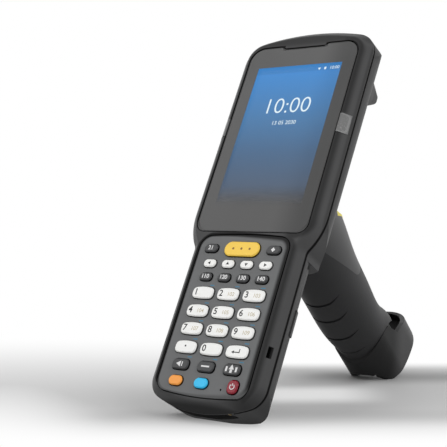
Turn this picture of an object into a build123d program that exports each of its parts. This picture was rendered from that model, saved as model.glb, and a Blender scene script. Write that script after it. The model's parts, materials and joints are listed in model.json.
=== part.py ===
"""Portable barcode data terminal with a pistol grip, standing as it is put down on a table.

The slab-shaped case leans back on its lower end and on the heel of the grip.  Three frames carry the model:
the case frame (x across, u up the case, w into its depth from the front rim), the grip frame (x across,
s along the grip away from the case, t towards the trigger) and the world frame (+Z up, floor at z = 0).
The sub-parts are drawn in the case or the grip frame, and both frames lean as the resting points say.
"""

import os
from math import asin, atan2, cos, degrees, radians, sin, sqrt

from build123d import *

os.makedirs("parts", exist_ok=True)

# ---------------------------------------------------------------- driving dimensions, millimetres and degrees

# case seen from the front
CASE_LENGTH = 202.0  # lower end to upper end, on the centre line
LOWER_HALF = 31.35  # half width beside the keypad
HEAD_HALF = 37.35  # half width beside the display
LOWER_BOW = 7.8  # rise of the bowed lower end at the sides
HEAD_BOW = 5.6  # fall of the bowed upper end at the sides
SHOULDER_LOW = 80.2  # where the shoulders leave the lower sides
SHOULDER_HIGH = 98.0  # where they reach the head's straight sides
LOWER_CORNER = 10.0
HEAD_CORNER = 13.0
SHOULDER_FILLET = 4.0

# case in depth
FRONT_DEPTH = 5.0  # front housing, rim to seam
GASKET_DEPTH = 1.0
LOWER_DEPTH = 22.0  # full depth behind the keypad
HEAD_DEPTH_LOW = 23.0  # full depth at the foot of the head
HEAD_DEPTH_HIGH = 25.5  # full depth at its top
LOWER_BACK_RADIUS = 16.5
HEAD_BACK_RADIUS = 18.5
HEAD_FOOT = 77.0  # the head's rear shell starts here
TOP_LAND = 6.3  # depth of the square upper end
TOP_FALL = 18.0  # drop of the sloping upper end towards the back
END_RADIUS = 8.0  # rounding of the lower end's back edge, on which the case rests
END_LIFT = 0.5  # the lower end's back half sits this far above the front half
WALL = 2.2
RIM_CHAMFER = 4.4  # bevel round the front edge
RIM_SOFTEN = 2.4  # rounding of the bevel's inner ridge

# window, display and keypad opening
GLASS_HALF = 31.2
GLASS_BOTTOM = 87.5
GLASS_TOP = 192.3
GLASS_CORNER_TOP = 8.0
GLASS_CORNER_BOTTOM = 5.0
GLASS_THICK = 1.1
GLASS_SINK = 0.15  # glass face behind the rim
TAB_DROP = 1.6  # tab of the upper bumper over the glass
TAB_HALF_ROOT = 14.0
TAB_HALF_TIP = 11.0
TRIM_GAP = 0.55  # shadow gap round glass and bezel
DISPLAY_HALF = 24.26
DISPLAY_BOTTOM = 99.3
DISPLAY_TOP = 180.2
DISPLAY_FRAME = 2.2  # module frame round the lit area
BEZEL_HALF = 25.0
BEZEL_TOP = 85.6
BEZEL_BOTTOM = 6.1
BEZEL_BOW_TOP = 1.2
BEZEL_BOW_BOTTOM = 2.2
BEZEL_CORNER = 6.0
BEZEL_THICK = 1.2
BEZEL_LEDGE = 0.7  # seat left under the bezel's edge

# keys
KEY_PROUD = 1.15  # cap above the bezel
KEY_FLANGE = 0.85  # flange past the cap, held under the bezel
KEY_FLANGE_THICK = 0.65
KEY_GAP = 0.4  # slit between cap and bezel
KEY_TRAVEL = 0.8
KEY_EDGE = 0.5  # chamfer of the cap
PAD_GAP = 0.1  # mat under a fully pressed key
PAD_THICK = 0.9
PAD_INSET = 0.4
COLUMN_WIDE = 14.19  # pitch of the three-column rows
COLUMN_NARROW = 10.40  # pitch of the four-column rows

CUSHION_BOW = 0.8  # arch of the digit keys' upper edge
SCAN_SIDE = 17.5
POWER_OUT = 17.2
ROW_SCAN = 78.0
ROW_ARROWS = 70.2
ROW_CONTROL = 63.3
ROW_DIGITS = (55.2, 46.2, 37.35, 28.3)
ROW_SPACE = 20.0
ROW_COLOUR = 12.3
MICROPHONE = (11.0, 10.6)
MICROPHONE_RADIUS = 0.45

# trim of the front housing
GASKET_SINK = 0.3
LIGHT_MIDDLE = 145.5
LIGHT_HEIGHT = 10.1
LIGHT_PROUD = 0.25
LIGHT_GAP = 0.1
LIGHT_SEAT = 3.3
LIGHT_INNER = GLASS_HALF + TRIM_GAP
CATCH_FRONT = 1.3
CATCH_DEPTH = 1.5
CATCH_MIDDLE = 30.4
CATCH_HEIGHT = 5.3
CATCH_BITE = 3.5

# inner frame, boards and what they carry
SEAT = 0.05  # running clearance between stacked inner pieces
CHASSIS_THICK = 1.4
CHASSIS_INSET = 3.8
STANDOFF = 1.5
MAIN_BOARD_THICK = 1.2
MAIN_BOARD_HALF = 21.5
MAIN_BOARD_RISE = 4.8  # the board's lower edge above the floor of the head's hollow
MAIN_BOARD_BOTTOM = HEAD_FOOT + WALL + MAIN_BOARD_RISE
MAIN_BOARD_TOP = 186.5
ENGINE_HALF = 10.5
ENGINE_HEIGHT = 15.0
ENGINE_DEPTH = 9.5
ENGINE_LENS = 3.0
ENGINE_BARREL = 2.0
FLEX_SLOT = (30.0, 4.0)
STANDOFF_RADIUS = 2.0
SPEAKER_RADIUS = 7.5
SPEAKER_OUT = 12.0
SPEAKER_UP = 112.0
SPEAKER_DEPTH = 3.6

# scan window, guard ridge, dock port and battery contacts
EXIT_HALF = 13.0
EXIT_HEIGHT = 9.5
EXIT_REBATE = 1.0
EXIT_THICK = 0.8
EXIT_LEDGE = 1.5
RIDGE_HALF = 32.0
RIDGE_MIDDLE = 176.0
RIDGE_ROOT = 6.0  # its root starts this far inside the back
RIDGE_FOOT = 20.0
RIDGE_TOP = 5.0
RIDGE_LEAN = 4.5  # its top stands higher than its root by this
RIDGE_PROUD = 9.5
RIDGE_SOFTEN = 1.2
END_BLOCK = 12.0  # solid lower end of the rear housing
DOCK_HALF = 17.0
DOCK_DEPTH = 4.8
DOCK_FACE = 2.6
DOCK_BACK = 8.0
DOCK_PIN = 1.2
DOCK_PIN_PROUD = 0.5
DOCK_PIN_DEEP = 7.2
DOCK_PINS = tuple(side * (7.0 + 2.4 * step) for side in (-1, 1) for step in range(4))
CONTACT_UP = 68.0
CONTACT_HALF = 10.0
CONTACT_HEIGHT = 5.0

# battery
TRAY_BACK = 9.8  # battery side of the tray floor
TRAY_FLOOR = 1.6
BATTERY_BOTTOM = 12.6
BATTERY_TOP = 76.0
BATTERY_GAP = 0.4
BATTERY_DRAFT = 1.6  # the battery's inner upper edge is shorter by this, to swing clear
LATCH_BOTTOM = 42.0
LATCH_TOP = 54.0
LATCH_FRONT = 10.4
LATCH_DEPTH = 3.4
LATCH_PROUD = 0.7
LATCH_INNER = 26.9
LATCH_TRAVEL = 1.2
LATCH_POCKET = LATCH_INNER - LATCH_TRAVEL - TRIM_GAP
LATCH_RIBS = 4
LATCH_CUT = 0.8
CELL_HALF = 21.0
CELL_HEIGHT = 54.0
CELL_DEPTH = 6.4
LATCH_GAP = 0.25

# grip, in its own frame
GRIP_ROOT_U = 115.4
GRIP_ROOT_W = 24.0
GRIP_TILT = 15.07  # grip axis below the case's normal
GRIP_SKIN = (  # reach s, half width, trigger side t, palm side t
    (-9.0, 22.0, 27.0, -28.0),
    (6.0, 19.6, 25.2, -24.6),
    (20.0, 17.2, 24.0, -21.6),
    (34.0, 16.2, 22.8, -20.6),
    (48.0, 15.7, 19.8, -20.6),
    (62.0, 15.5, 18.2, -20.9),
    (76.0, 15.5, 17.0, -21.0),
    (92.0, 15.3, 15.9, -19.2),
    (112.0, 15.3, 15.8, -18.2),
)
CORE_PAST = 1.0  # inset forms run past the skin's ends by this
SLEEVE_THICK = 1.8
COLLAR_SLOPE_FOOT = (-12.0, -24.1)  # rubber sleeve's upper seam, seen from the side
COLLAR_SLOPE_HEAD = 2.7
COLLAR_TONGUE = 58.1  # lowest reach of the collar, in front
TONGUE_RADIUS = 7.0
BASE_SEAM_PALM = (109.0, -19.5)  # seam between sleeve and base, an arc from palm to front
BASE_SEAM_SIDE = (99.4, -3.0)
BASE_SEAM_FRONT = (108.5, 13.5)
GROOVES = (55.0, 67.5, 82.7, 98.0)  # finger grooves on the palm side
GROOVE_RISE = 2.0
GROOVE_WIDTH = 1.5
GROOVE_PALM = -18.0
GROOVE_SIDE = -13.5
GROOVE_DEPTH = 0.8

# heel of the grip
HEEL_HALF = 15.3
HEEL_NOSE = 29.0  # reach of the scoop's nose towards the trigger
HEEL_NOSE_RADIUS = 15.0
HEEL_WALL = 2.4
HEEL_FLOOR = 132.4
SCOOP_FLOOR = 124.8  # floor of the hollow behind the nose
FOOT_CENTRE = (125.7, -8.45)  # rounding of the two feet, on which the grip rests
FOOT_RADIUS = 4.2
CHANNEL_HALF = 8.0
CHANNEL_FLOOR = 119.5
REST_FLAT = 0.2  # flat ground off the resting points

FOOT_SWEEP = 62.0
HEEL_CHIN = (128.6, 25.2)  # the nose turns under here
HEEL_BELLY = (131.6, 17.0)
RIM_START = -1.0  # the scoop's rim, seen from the side
RIM_DIP = (111.6, 8.6)
RIM_RISE = (114.2, 17.0)
RIM_NOSE = (120.8, HEEL_NOSE)
CHANNEL_END = 10.0

# trigger and what it works on
TRIGGER_HALF = 8.0
TRIGGER_SIDE_GAP = 0.6
PIVOT = (9.5, 15.0)
PIN_RADIUS = 1.5
PIN_RUNNING = 0.05
PIN_HALF = 13.0
HUB_RADIUS = 4.0
BAY_FLOOR = 3.6
SPRING_REACH = 22.0
SPRING_RADIUS = 2.4
SPRING_WIRE = 0.35
SPRING_TURNS = 4
SWITCH_REACH = 34.0
SWITCH_HEIGHT = 4.2
SWITCH_HALF = 3.2
PLUNGER = 0.9
TRIGGER_TOP = (6.5, 17.8)
TRIGGER_DISH = (19.0, 18.4)
TRIGGER_TOE = (31.5, 22.0)
TRIGGER_TIP = (34.3, 21.0)
TRIGGER_HEEL = (35.2, 18.8)
TRIGGER_TAIL = (37.6, 12.6)
TRIGGER_BACK = (13.0, 10.9)
EAR_EDGE = 14.5
NOTCH_EAR = 14.0
NOTCH_LOW = (19.0, 9.5)
NOTCH_LIP = (34.0, 22.5)
BAY_START = 5.0
LIP_FOOT = (43.0, 8.0)
LIP_INNER = (37.0, 20.6)
LIP_EDGE = 35.8

# screws
SCREW_SHAFT = 1.2
SCREW_HEAD = 2.7
SCREW_HEAD_HEIGHT = 1.9
SCREW_CLEAR = 0.15

GRIP_SCREWS = ((12.0, -6.0), (30.0, -1.0))
GRIP_SCREW_SEAT = 11.0
GRIP_SCREW_LENGTH = 19.0
BASE_SCREWS = ((-4.5, -3.0), (4.5, -3.0))
BASE_SCREW_TIP = 90.5
HOLLOW_START = 50.0
HOLLOW_END = 88.0
POST_OUT = 29.0  # the case's four screw posts, from the centre line
POST_HEIGHTS = (104.0, 188.3)
POST_WELL = 15.0  # depth of the screw heads' seats behind the rim
SCREW_TIP = 2.4  # depth of the screws' tips behind the rim

ACROSS_MODEL = 60.0  # longer than half of anything across the model
SECTION_SPARE = 0.05  # cross-sections pass the outline that trims them by this

# the row's origin: midway between foremost and rearmost point
ORIGIN_BACK = 94.5

# ---------------------------------------------------------------- frames

# The floor touches the rounded lower end of the case and the rounded feet of the grip.
grip_tilt = radians(GRIP_TILT)
end_centre = (END_LIFT + END_RADIUS, LOWER_DEPTH - END_RADIUS)
foot_centre = (
    GRIP_ROOT_U - FOOT_CENTRE[0] * sin(grip_tilt) + FOOT_CENTRE[1] * cos(grip_tilt),
    GRIP_ROOT_W + FOOT_CENTRE[0] * cos(grip_tilt) + FOOT_CENTRE[1] * sin(grip_tilt),
)
rise = foot_centre[0] - end_centre[0]
run = foot_centre[1] - end_centre[1]
lean = atan2(rise, run) - asin((FOOT_RADIUS - END_RADIUS) / sqrt(rise**2 + run**2))
lift = END_RADIUS - end_centre[0] * cos(lean) + end_centre[1] * sin(lean) - REST_FLAT

UP_CASE = Vector(0, sin(lean), cos(lean))
INTO_CASE = Vector(0, cos(lean), -sin(lean))
ALONG_GRIP = INTO_CASE * cos(grip_tilt) - UP_CASE * sin(grip_tilt)
RIGHT = Vector(1, 0, 0)
case_origin = Vector(0, -ORIGIN_BACK, lift)
grip_origin = case_origin + UP_CASE * GRIP_ROOT_U + INTO_CASE * GRIP_ROOT_W

FRONT = Plane(case_origin, x_dir=RIGHT, z_dir=INTO_CASE * -1)  # local (x, u)
ACROSS = Plane(case_origin, x_dir=RIGHT, z_dir=UP_CASE)  # local (x, w)
SIDE = Plane(case_origin, x_dir=INTO_CASE, z_dir=RIGHT)  # local (w, u)
GRIP = Plane(grip_origin, x_dir=RIGHT * -1, z_dir=ALONG_GRIP)  # local (-x, t)
GRIP_SIDE = Plane(grip_origin, x_dir=ALONG_GRIP, z_dir=RIGHT)  # local (s, t)
TO_VIEWER = Axis(case_origin, INTO_CASE * -1)


def front_at(depth):
    """Sketch plane parallel to the display, depth behind the front rim."""
    return FRONT.offset(-depth)


def across_at(height):
    """Sketch plane square to the case, at a height up from its lower end."""
    return ACROSS.offset(height)


def grip_at(reach):
    """Sketch plane square to the grip's axis, at a distance from the case."""
    return GRIP.offset(reach)


def save(part, name):
    """Label a finished piece and write its file."""
    part.label = name
    export_step(part, f"parts/{name}.step")


# ---------------------------------------------------------------- shared outlines and forms


def case_outline(inset):
    """Front view of the case, drawn in by an inset."""
    lower = LOWER_HALF - inset
    head = HEAD_HALF - inset
    low_side = LOWER_BOW + inset
    high_side = CASE_LENGTH - HEAD_BOW - inset
    shoulder = SHOULDER_LOW + inset / 2
    with BuildSketch() as outline:
        with BuildLine():
            ThreePointArc((-lower, low_side), (0, inset), (lower, low_side))
            for side in (-1, 1):
                Line((side * lower, low_side), (side * lower, shoulder))
                TangentArc((side * head, SHOULDER_HIGH), (side * lower, shoulder), tangent=(0, -1))
                Line((side * head, SHOULDER_HIGH), (side * head, high_side))
            ThreePointArc((-head, high_side), (0, CASE_LENGTH - inset), (head, high_side))
        make_face()
        fillet(outline.vertices().group_by(Axis.Y)[-1], radius=HEAD_CORNER - inset / 2)
        fillet(outline.vertices().group_by(Axis.Y)[1], radius=SHOULDER_FILLET + inset / 2)
        fillet(outline.vertices().group_by(Axis.Y)[0], radius=LOWER_CORNER - inset)
    return outline.sketch


def bowed_outline(half, bottom, top, bow_bottom, bow_top):
    """Four-sided outline with bowed lower and upper edges, sharp at its corners."""
    with BuildSketch() as outline:
        with BuildLine():
            ThreePointArc((-half, bottom + bow_bottom), (0, bottom), (half, bottom + bow_bottom))
            ThreePointArc((-half, top - bow_top), (0, top), (half, top - bow_top))
            for side in (-1, 1):
                Line((side * half, bottom + bow_bottom), (side * half, top - bow_top))
        make_face()
    return outline.sketch


def glass_outline(grow):
    """Window glass with the upper bumper's tab cut out of its top edge."""
    with BuildSketch() as outline:
        with BuildLine():
            Polyline(
                (-TAB_HALF_ROOT, GLASS_TOP),
                (-GLASS_HALF, GLASS_TOP),
                (-GLASS_HALF, GLASS_BOTTOM),
                (GLASS_HALF, GLASS_BOTTOM),
                (GLASS_HALF, GLASS_TOP),
                (TAB_HALF_ROOT, GLASS_TOP),
                (TAB_HALF_TIP, GLASS_TOP - TAB_DROP),
                (-TAB_HALF_TIP, GLASS_TOP - TAB_DROP),
                close=True,
            )
        make_face()
        corners = outline.vertices().filter_by(lambda v: abs(v.X) > TAB_HALF_ROOT + 1)
        fillet(corners.group_by(Axis.Y)[-1], radius=GLASS_CORNER_TOP)
        corners = outline.vertices().filter_by(lambda v: abs(v.X) > TAB_HALF_ROOT + 1)
        fillet(corners.group_by(Axis.Y)[0], radius=GLASS_CORNER_BOTTOM)
        if grow:
            offset(amount=grow)
    return outline.sketch


def bezel_outline(grow):
    """Keypad bezel, a tall plate with bowed ends."""
    with BuildSketch() as outline:
        add(bowed_outline(BEZEL_HALF, BEZEL_BOTTOM, BEZEL_TOP, BEZEL_BOW_BOTTOM, BEZEL_BOW_TOP))
        fillet(outline.vertices(), radius=BEZEL_CORNER)
        if grow:
            offset(amount=grow)
    return outline.sketch


def back_section(half, depth, radius, inset):
    """Cross-section of the case: flat in front, both back corners widely rounded."""
    with BuildSketch() as section:
        with Locations((0, (depth - inset) / 2)):
            Rectangle(2 * (half - inset), depth - inset)
        fillet(section.vertices().group_by(Axis.Y)[-1], radius=radius - inset)
    return section.sketch


def side_profile(inset):
    """Side view of the case, with its rounded lower end and its sloping upper end."""
    low = END_LIFT + inset
    back = LOWER_DEPTH - inset
    end = END_RADIUS - inset
    slope_fall = TOP_FALL * (HEAD_DEPTH_HIGH - inset - TOP_LAND) / (HEAD_DEPTH_HIGH - TOP_LAND)
    with BuildSketch() as profile:
        with BuildLine():
            Polyline(
                (back - end, low),
                (TOP_LAND, low - END_LIFT),
                (0, low - END_LIFT),
                (0, CASE_LENGTH - inset),
                (TOP_LAND, CASE_LENGTH - inset),
                (HEAD_DEPTH_HIGH - inset, CASE_LENGTH - inset - slope_fall),
                (HEAD_DEPTH_HIGH - inset, HEAD_FOOT + inset),
                (back, HEAD_FOOT + inset),
                (back, low + end),
            )
            CenterArc((back - end, low + end), end, -90, 90)
        make_face()
    return profile.sketch


SCREW_POSTS = tuple((side * POST_OUT, height) for side in (-1, 1) for height in POST_HEIGHTS)
POST_RADIUS = SCREW_HEAD + WALL
SEAM_BACK = FRONT_DEPTH + GASKET_DEPTH
CHASSIS_BACK = FRONT_DEPTH + CHASSIS_THICK


def head_form(inset):
    """Deep rear form of the head, a little wider than the outline that trims it."""
    half = HEAD_HALF + SECTION_SPARE
    with BuildPart() as form:
        with BuildSketch(across_at(HEAD_FOOT + inset)):
            add(back_section(half, HEAD_DEPTH_LOW, HEAD_BACK_RADIUS, inset))
        with BuildSketch(across_at(CASE_LENGTH + END_RADIUS)):
            add(back_section(half, HEAD_DEPTH_HIGH, HEAD_BACK_RADIUS, inset))
        loft(ruled=True)
    return form.part


def case_form():
    """Solid form of the case behind the gasket, lower body and head together."""
    with BuildPart() as form:
        add(head_form(0))
        with BuildSketch(across_at(-END_RADIUS)):
            add(back_section(LOWER_HALF + SECTION_SPARE, LOWER_DEPTH, LOWER_BACK_RADIUS, 0))
        extrude(amount=HEAD_FOOT + END_RADIUS)
        with BuildSketch(front_at(SEAM_BACK)):
            add(case_outline(0))
        extrude(amount=HEAD_DEPTH_HIGH, dir=INTO_CASE, mode=Mode.INTERSECT)
        with BuildSketch(SIDE):
            add(side_profile(0))
        extrude(amount=ACROSS_MODEL, both=True, mode=Mode.INTERSECT)
    return form.part


def head_cavity():
    """Hollow of the head, one wall inside its skin, with the screw posts left standing."""
    with BuildPart() as form:
        add(head_form(WALL))
        with BuildSketch(front_at(SEAM_BACK)):
            add(case_outline(WALL))
        extrude(amount=HEAD_DEPTH_HIGH, dir=INTO_CASE, mode=Mode.INTERSECT)
        with BuildSketch(SIDE):
            add(side_profile(WALL))
        extrude(amount=ACROSS_MODEL, both=True, mode=Mode.INTERSECT)
        with BuildSketch(front_at(CHASSIS_BACK + SEAT)):
            with Locations(*SCREW_POSTS):
                Circle(POST_RADIUS)
        extrude(amount=HEAD_DEPTH_HIGH, dir=INTO_CASE, mode=Mode.SUBTRACT)
    return form.part


CASE_FORM = case_form()
HEAD_CAVITY = head_cavity()


def grip_form(inset):
    """Skin of collar and sleeve as one smooth solid, drawn in by an inset."""
    past = CORE_PAST if inset else 0
    shifts = [-past] + [0] * (len(GRIP_SKIN) - 2) + [past]
    with BuildPart() as form:
        for shift, (reach, half, front, palm) in zip(shifts, GRIP_SKIN):
            with BuildSketch(grip_at(reach + shift)):
                with Locations((0, (front + palm) / 2)):
                    Ellipse(half - inset, (front - palm) / 2 - inset)
        loft()
    return form.part


GRIP_FORM = grip_form(0)
GRIP_CORE = grip_form(SLEEVE_THICK)


def corner_at(sketch, x, y):
    """The sketch's vertex at a given place."""
    return sketch.vertices().filter_by(lambda v: abs(v.X - x) < 0.01 and abs(v.Y - y) < 0.01)


def collar_zone():
    """Side view of the hard collar: all that lies above the sleeve's slanting seam."""
    with BuildSketch() as zone:
        with BuildLine():
            Polyline(
                COLLAR_SLOPE_FOOT,
                (COLLAR_TONGUE, COLLAR_SLOPE_HEAD),
                (COLLAR_TONGUE, ACROSS_MODEL),
                (COLLAR_SLOPE_FOOT[0], ACROSS_MODEL),
                close=True,
            )
        make_face()
        fillet(corner_at(zone, COLLAR_TONGUE, COLLAR_SLOPE_HEAD), radius=TONGUE_RADIUS)
    return zone.sketch


def base_zone():
    """Side view of the heel piece, from the arched seam to beyond its floor."""
    with BuildSketch() as zone:
        with BuildLine():
            ThreePointArc(BASE_SEAM_PALM, BASE_SEAM_SIDE, BASE_SEAM_FRONT)
            Polyline(
                BASE_SEAM_FRONT,
                (BASE_SEAM_FRONT[0], ACROSS_MODEL),
                (2 * HEEL_FLOOR, ACROSS_MODEL),
                (2 * HEEL_FLOOR, -ACROSS_MODEL),
                (BASE_SEAM_PALM[0], -ACROSS_MODEL),
                BASE_SEAM_PALM,
            )
        make_face()
    return zone.sketch


TO_FRONT = INTO_CASE * -1
GLASS_SEAT = GLASS_SINK + GLASS_THICK + SEAT
BEZEL_SEAT = BEZEL_THICK + SEAT
KEY_BACK = BEZEL_SEAT + KEY_FLANGE_THICK
PAD_FRONT = KEY_BACK + KEY_TRAVEL + PAD_GAP
PAD_BACK = PAD_FRONT + PAD_THICK
MODULE_HALF = DISPLAY_HALF + DISPLAY_FRAME
MODULE_HEIGHT = DISPLAY_TOP - DISPLAY_BOTTOM + 2 * DISPLAY_FRAME
MODULE_MIDDLE = (DISPLAY_TOP + DISPLAY_BOTTOM) / 2
BATTERY_FRONT = TRAY_BACK + SEAT * 4
BAY_BOTTOM = BATTERY_BOTTOM - BATTERY_GAP
BAY_TOP = BATTERY_TOP + BATTERY_GAP

# ---------------------------------------------------------------- front housing, seal and trim

with BuildPart() as front_housing:
    with BuildSketch(front_at(FRONT_DEPTH)):
        add(case_outline(0))
    extrude(amount=FRONT_DEPTH, dir=TO_FRONT)
    rim = front_housing.faces().sort_by(TO_VIEWER)[-1]
    chamfer(rim.edges(), length=RIM_CHAMFER)
    rim = front_housing.faces().sort_by(TO_VIEWER)[-1]
    fillet(rim.edges(), radius=RIM_SOFTEN)
    with BuildSketch(front_at(0)):
        add(glass_outline(TRIM_GAP))
    extrude(amount=GLASS_SEAT, dir=INTO_CASE, mode=Mode.SUBTRACT)
    with BuildSketch(front_at(0)):
        with Locations((0, MODULE_MIDDLE)):
            Rectangle(2 * (MODULE_HALF + TRIM_GAP), MODULE_HEIGHT + 2 * TRIM_GAP)
        add(bezel_outline(-BEZEL_LEDGE))
    extrude(amount=FRONT_DEPTH, dir=INTO_CASE, mode=Mode.SUBTRACT)
    with BuildSketch(front_at(0)):
        add(bezel_outline(TRIM_GAP))
    extrude(amount=BEZEL_SEAT, dir=INTO_CASE, mode=Mode.SUBTRACT)
    # window for the status light on each side of the head
    with BuildSketch(front_at(0)):
        for side in (-1, 1):
            with Locations((side * (LIGHT_INNER + HEAD_HALF) / 2, LIGHT_MIDDLE)):
                Rectangle(HEAD_HALF - LIGHT_INNER, LIGHT_HEIGHT + 2 * LIGHT_GAP)
    extrude(amount=LIGHT_SEAT, dir=INTO_CASE, mode=Mode.SUBTRACT)
    # catch for a holster or a boot on each lower side
    with BuildSketch(front_at(CATCH_FRONT)):
        for side in (-1, 1):
            with Locations((side * LOWER_HALF, CATCH_MIDDLE)):
                Rectangle(2 * CATCH_BITE, CATCH_HEIGHT)
    extrude(amount=CATCH_DEPTH, dir=INTO_CASE, mode=Mode.SUBTRACT)
    with BuildSketch(front_at(SCREW_TIP)):
        with Locations(*SCREW_POSTS):
            Circle(SCREW_SHAFT + SCREW_CLEAR)
    extrude(amount=FRONT_DEPTH, dir=INTO_CASE, mode=Mode.SUBTRACT)
save(front_housing.part, "front_housing")

with BuildPart() as housing_gasket:
    with BuildSketch(front_at(FRONT_DEPTH)):
        add(case_outline(GASKET_SINK))
        add(case_outline(CHASSIS_INSET - TRIM_GAP), mode=Mode.SUBTRACT)
    extrude(amount=GASKET_DEPTH, dir=INTO_CASE)
save(housing_gasket.part, "housing_gasket")

with BuildPart() as display_glass:
    with BuildSketch(front_at(GLASS_SINK)):
        add(glass_outline(0))
    extrude(amount=GLASS_THICK, dir=INTO_CASE)
save(display_glass.part, "display_glass")

with BuildPart() as lcd_module:
    with BuildSketch(front_at(GLASS_SEAT)):
        with Locations((0, MODULE_MIDDLE)):
            Rectangle(2 * MODULE_HALF, MODULE_HEIGHT)
    extrude(amount=FRONT_DEPTH - GLASS_SEAT, dir=INTO_CASE)
save(lcd_module.part, "lcd_module")

# The light pipes stand a little proud of the bevel that they wrap.
for name, side in (("light_pipe_left", -1), ("light_pipe_right", 1)):
    with BuildPart() as light_pipe:
        with BuildSketch(across_at(LIGHT_MIDDLE - LIGHT_HEIGHT / 2)):
            with BuildLine():
                bevel = HEAD_HALF - RIM_CHAMFER
                Polyline(
                    (side * (LIGHT_INNER + LIGHT_GAP), -LIGHT_PROUD),
                    (side * bevel, -LIGHT_PROUD),
                    (side * (bevel + LIGHT_SEAT + LIGHT_PROUD), LIGHT_SEAT),
                    (side * (LIGHT_INNER + LIGHT_GAP), LIGHT_SEAT),
                    close=True,
                )
            make_face()
        extrude(amount=LIGHT_HEIGHT, dir=UP_CASE)
    save(light_pipe.part, name)

# ---------------------------------------------------------------- keypad


def key_outline(shape, width, height, grow):
    """Front view of a key: a slot, or a cushion with bowed edges and rounded corners."""
    bow = CUSHION_BOW if shape == "digit" else 0.1
    corner = {"digit": 2.1, "round": 2.2, "dark": 1.9, "slot": 0}[shape]
    if shape == "slot":
        with BuildSketch() as outline:
            SlotOverall(width + 2 * grow, height + 2 * grow)
    else:
        side = width / 2 + grow
        top = height / 2 + grow
        with BuildSketch() as outline:
            add(bowed_outline(side, -top, top, bow / 2, bow))
            fillet(outline.vertices(), radius=corner + grow)
    return outline.sketch


NARROW_COLUMNS = tuple(COLUMN_NARROW * step for step in (-1.5, -0.5, 0.5, 1.5))
WIDE_COLUMNS = tuple(COLUMN_WIDE * step for step in (-1, 0, 1))

KEY_ROWS = (  # row height, columns, shape, width, height, names from left to right
    (ROW_SCAN, (-SCAN_SIDE,), "slot", 7.7, 4.2, ("function",)),
    (ROW_SCAN, (0,), "slot", 19.6, 7.4, ("scan",)),
    (ROW_SCAN, (SCAN_SIDE,), "slot", 7.7, 4.2, ("star",)),
    (ROW_ARROWS, NARROW_COLUMNS, "slot", 6.9, 4.0, ("left", "up", "down", "right")),
    (ROW_CONTROL, NARROW_COLUMNS, "dark", 7.0, 4.0, ("escape", "tab", "alt", "control")),
    (ROW_DIGITS[0], WIDE_COLUMNS, "digit", 11.8, 6.0, ("1", "2", "3")),
    (ROW_DIGITS[1], WIDE_COLUMNS, "digit", 11.8, 6.0, ("4", "5", "6")),
    (ROW_DIGITS[2], WIDE_COLUMNS, "digit", 11.8, 6.0, ("7", "8", "9")),
    (ROW_DIGITS[3], WIDE_COLUMNS, "digit", 11.8, 6.0, ("dot", "0", "enter")),
    (ROW_SPACE, WIDE_COLUMNS, "dark", 9.1, 5.0, ("back", "space", "shift")),
    (ROW_COLOUR, (-COLUMN_WIDE,), "slot", 7.5, 4.6, ("orange",)),
    (ROW_COLOUR, (0,), "slot", 7.5, 4.7, ("blue",)),
    (ROW_COLOUR, (POWER_OUT,), "round", 5.6, 6.2, ("power",)),
)

KEYS = tuple(
    (name, x, height, shape, width, tall)
    for height, columns, shape, width, tall, names in KEY_ROWS
    for name, x in zip(names, columns)
)

with BuildPart() as keypad_bezel:
    with BuildSketch(front_at(0)):
        add(bezel_outline(0))
        for _, x, height, shape, width, tall in KEYS:
            with Locations((x, height)):
                add(key_outline(shape, width, tall, KEY_GAP), mode=Mode.SUBTRACT)
        with Locations(MICROPHONE):
            Circle(MICROPHONE_RADIUS, mode=Mode.SUBTRACT)
    extrude(amount=BEZEL_THICK, dir=INTO_CASE)
save(keypad_bezel.part, "keypad_bezel")

# Each key's flange is caught under the bezel, and the key sinks towards the rubber mat.
for name, x, height, shape, width, tall in KEYS:
    with BuildPart() as key:
        with BuildSketch(front_at(KEY_BACK)):
            with Locations((x, height)):
                add(key_outline(shape, width, tall, 0))
        extrude(amount=KEY_BACK + KEY_PROUD, dir=TO_FRONT)
        chamfer(key.faces().sort_by(TO_VIEWER)[-1].edges(), length=KEY_EDGE)
        with BuildSketch(front_at(BEZEL_SEAT)):
            with Locations((x, height)):
                add(key_outline(shape, width, tall, KEY_FLANGE))
        extrude(amount=KEY_FLANGE_THICK, dir=INTO_CASE)
    save(key.part, f"key_{name}")

with BuildPart() as keypad_mat:
    with BuildSketch(front_at(PAD_FRONT)):
        add(bezel_outline(-BEZEL_LEDGE - PAD_INSET))
    extrude(amount=PAD_THICK, dir=INTO_CASE)
save(keypad_mat.part, "keypad_mat")

with BuildPart() as keypad_board:
    with BuildSketch(front_at(PAD_BACK)):
        add(bezel_outline(-BEZEL_LEDGE - PAD_INSET))
    extrude(amount=FRONT_DEPTH - PAD_BACK, dir=INTO_CASE)
save(keypad_board.part, "keypad_board")

# ---------------------------------------------------------------- chassis, boards, scan engine

BOARD_FRONT = CHASSIS_BACK + STANDOFF
BOARD_BACK = BOARD_FRONT + MAIN_BOARD_THICK
BOARD_MIDDLE = (MAIN_BOARD_BOTTOM + MAIN_BOARD_TOP) / 2
BOARD_HEIGHT = MAIN_BOARD_TOP - MAIN_BOARD_BOTTOM

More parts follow.
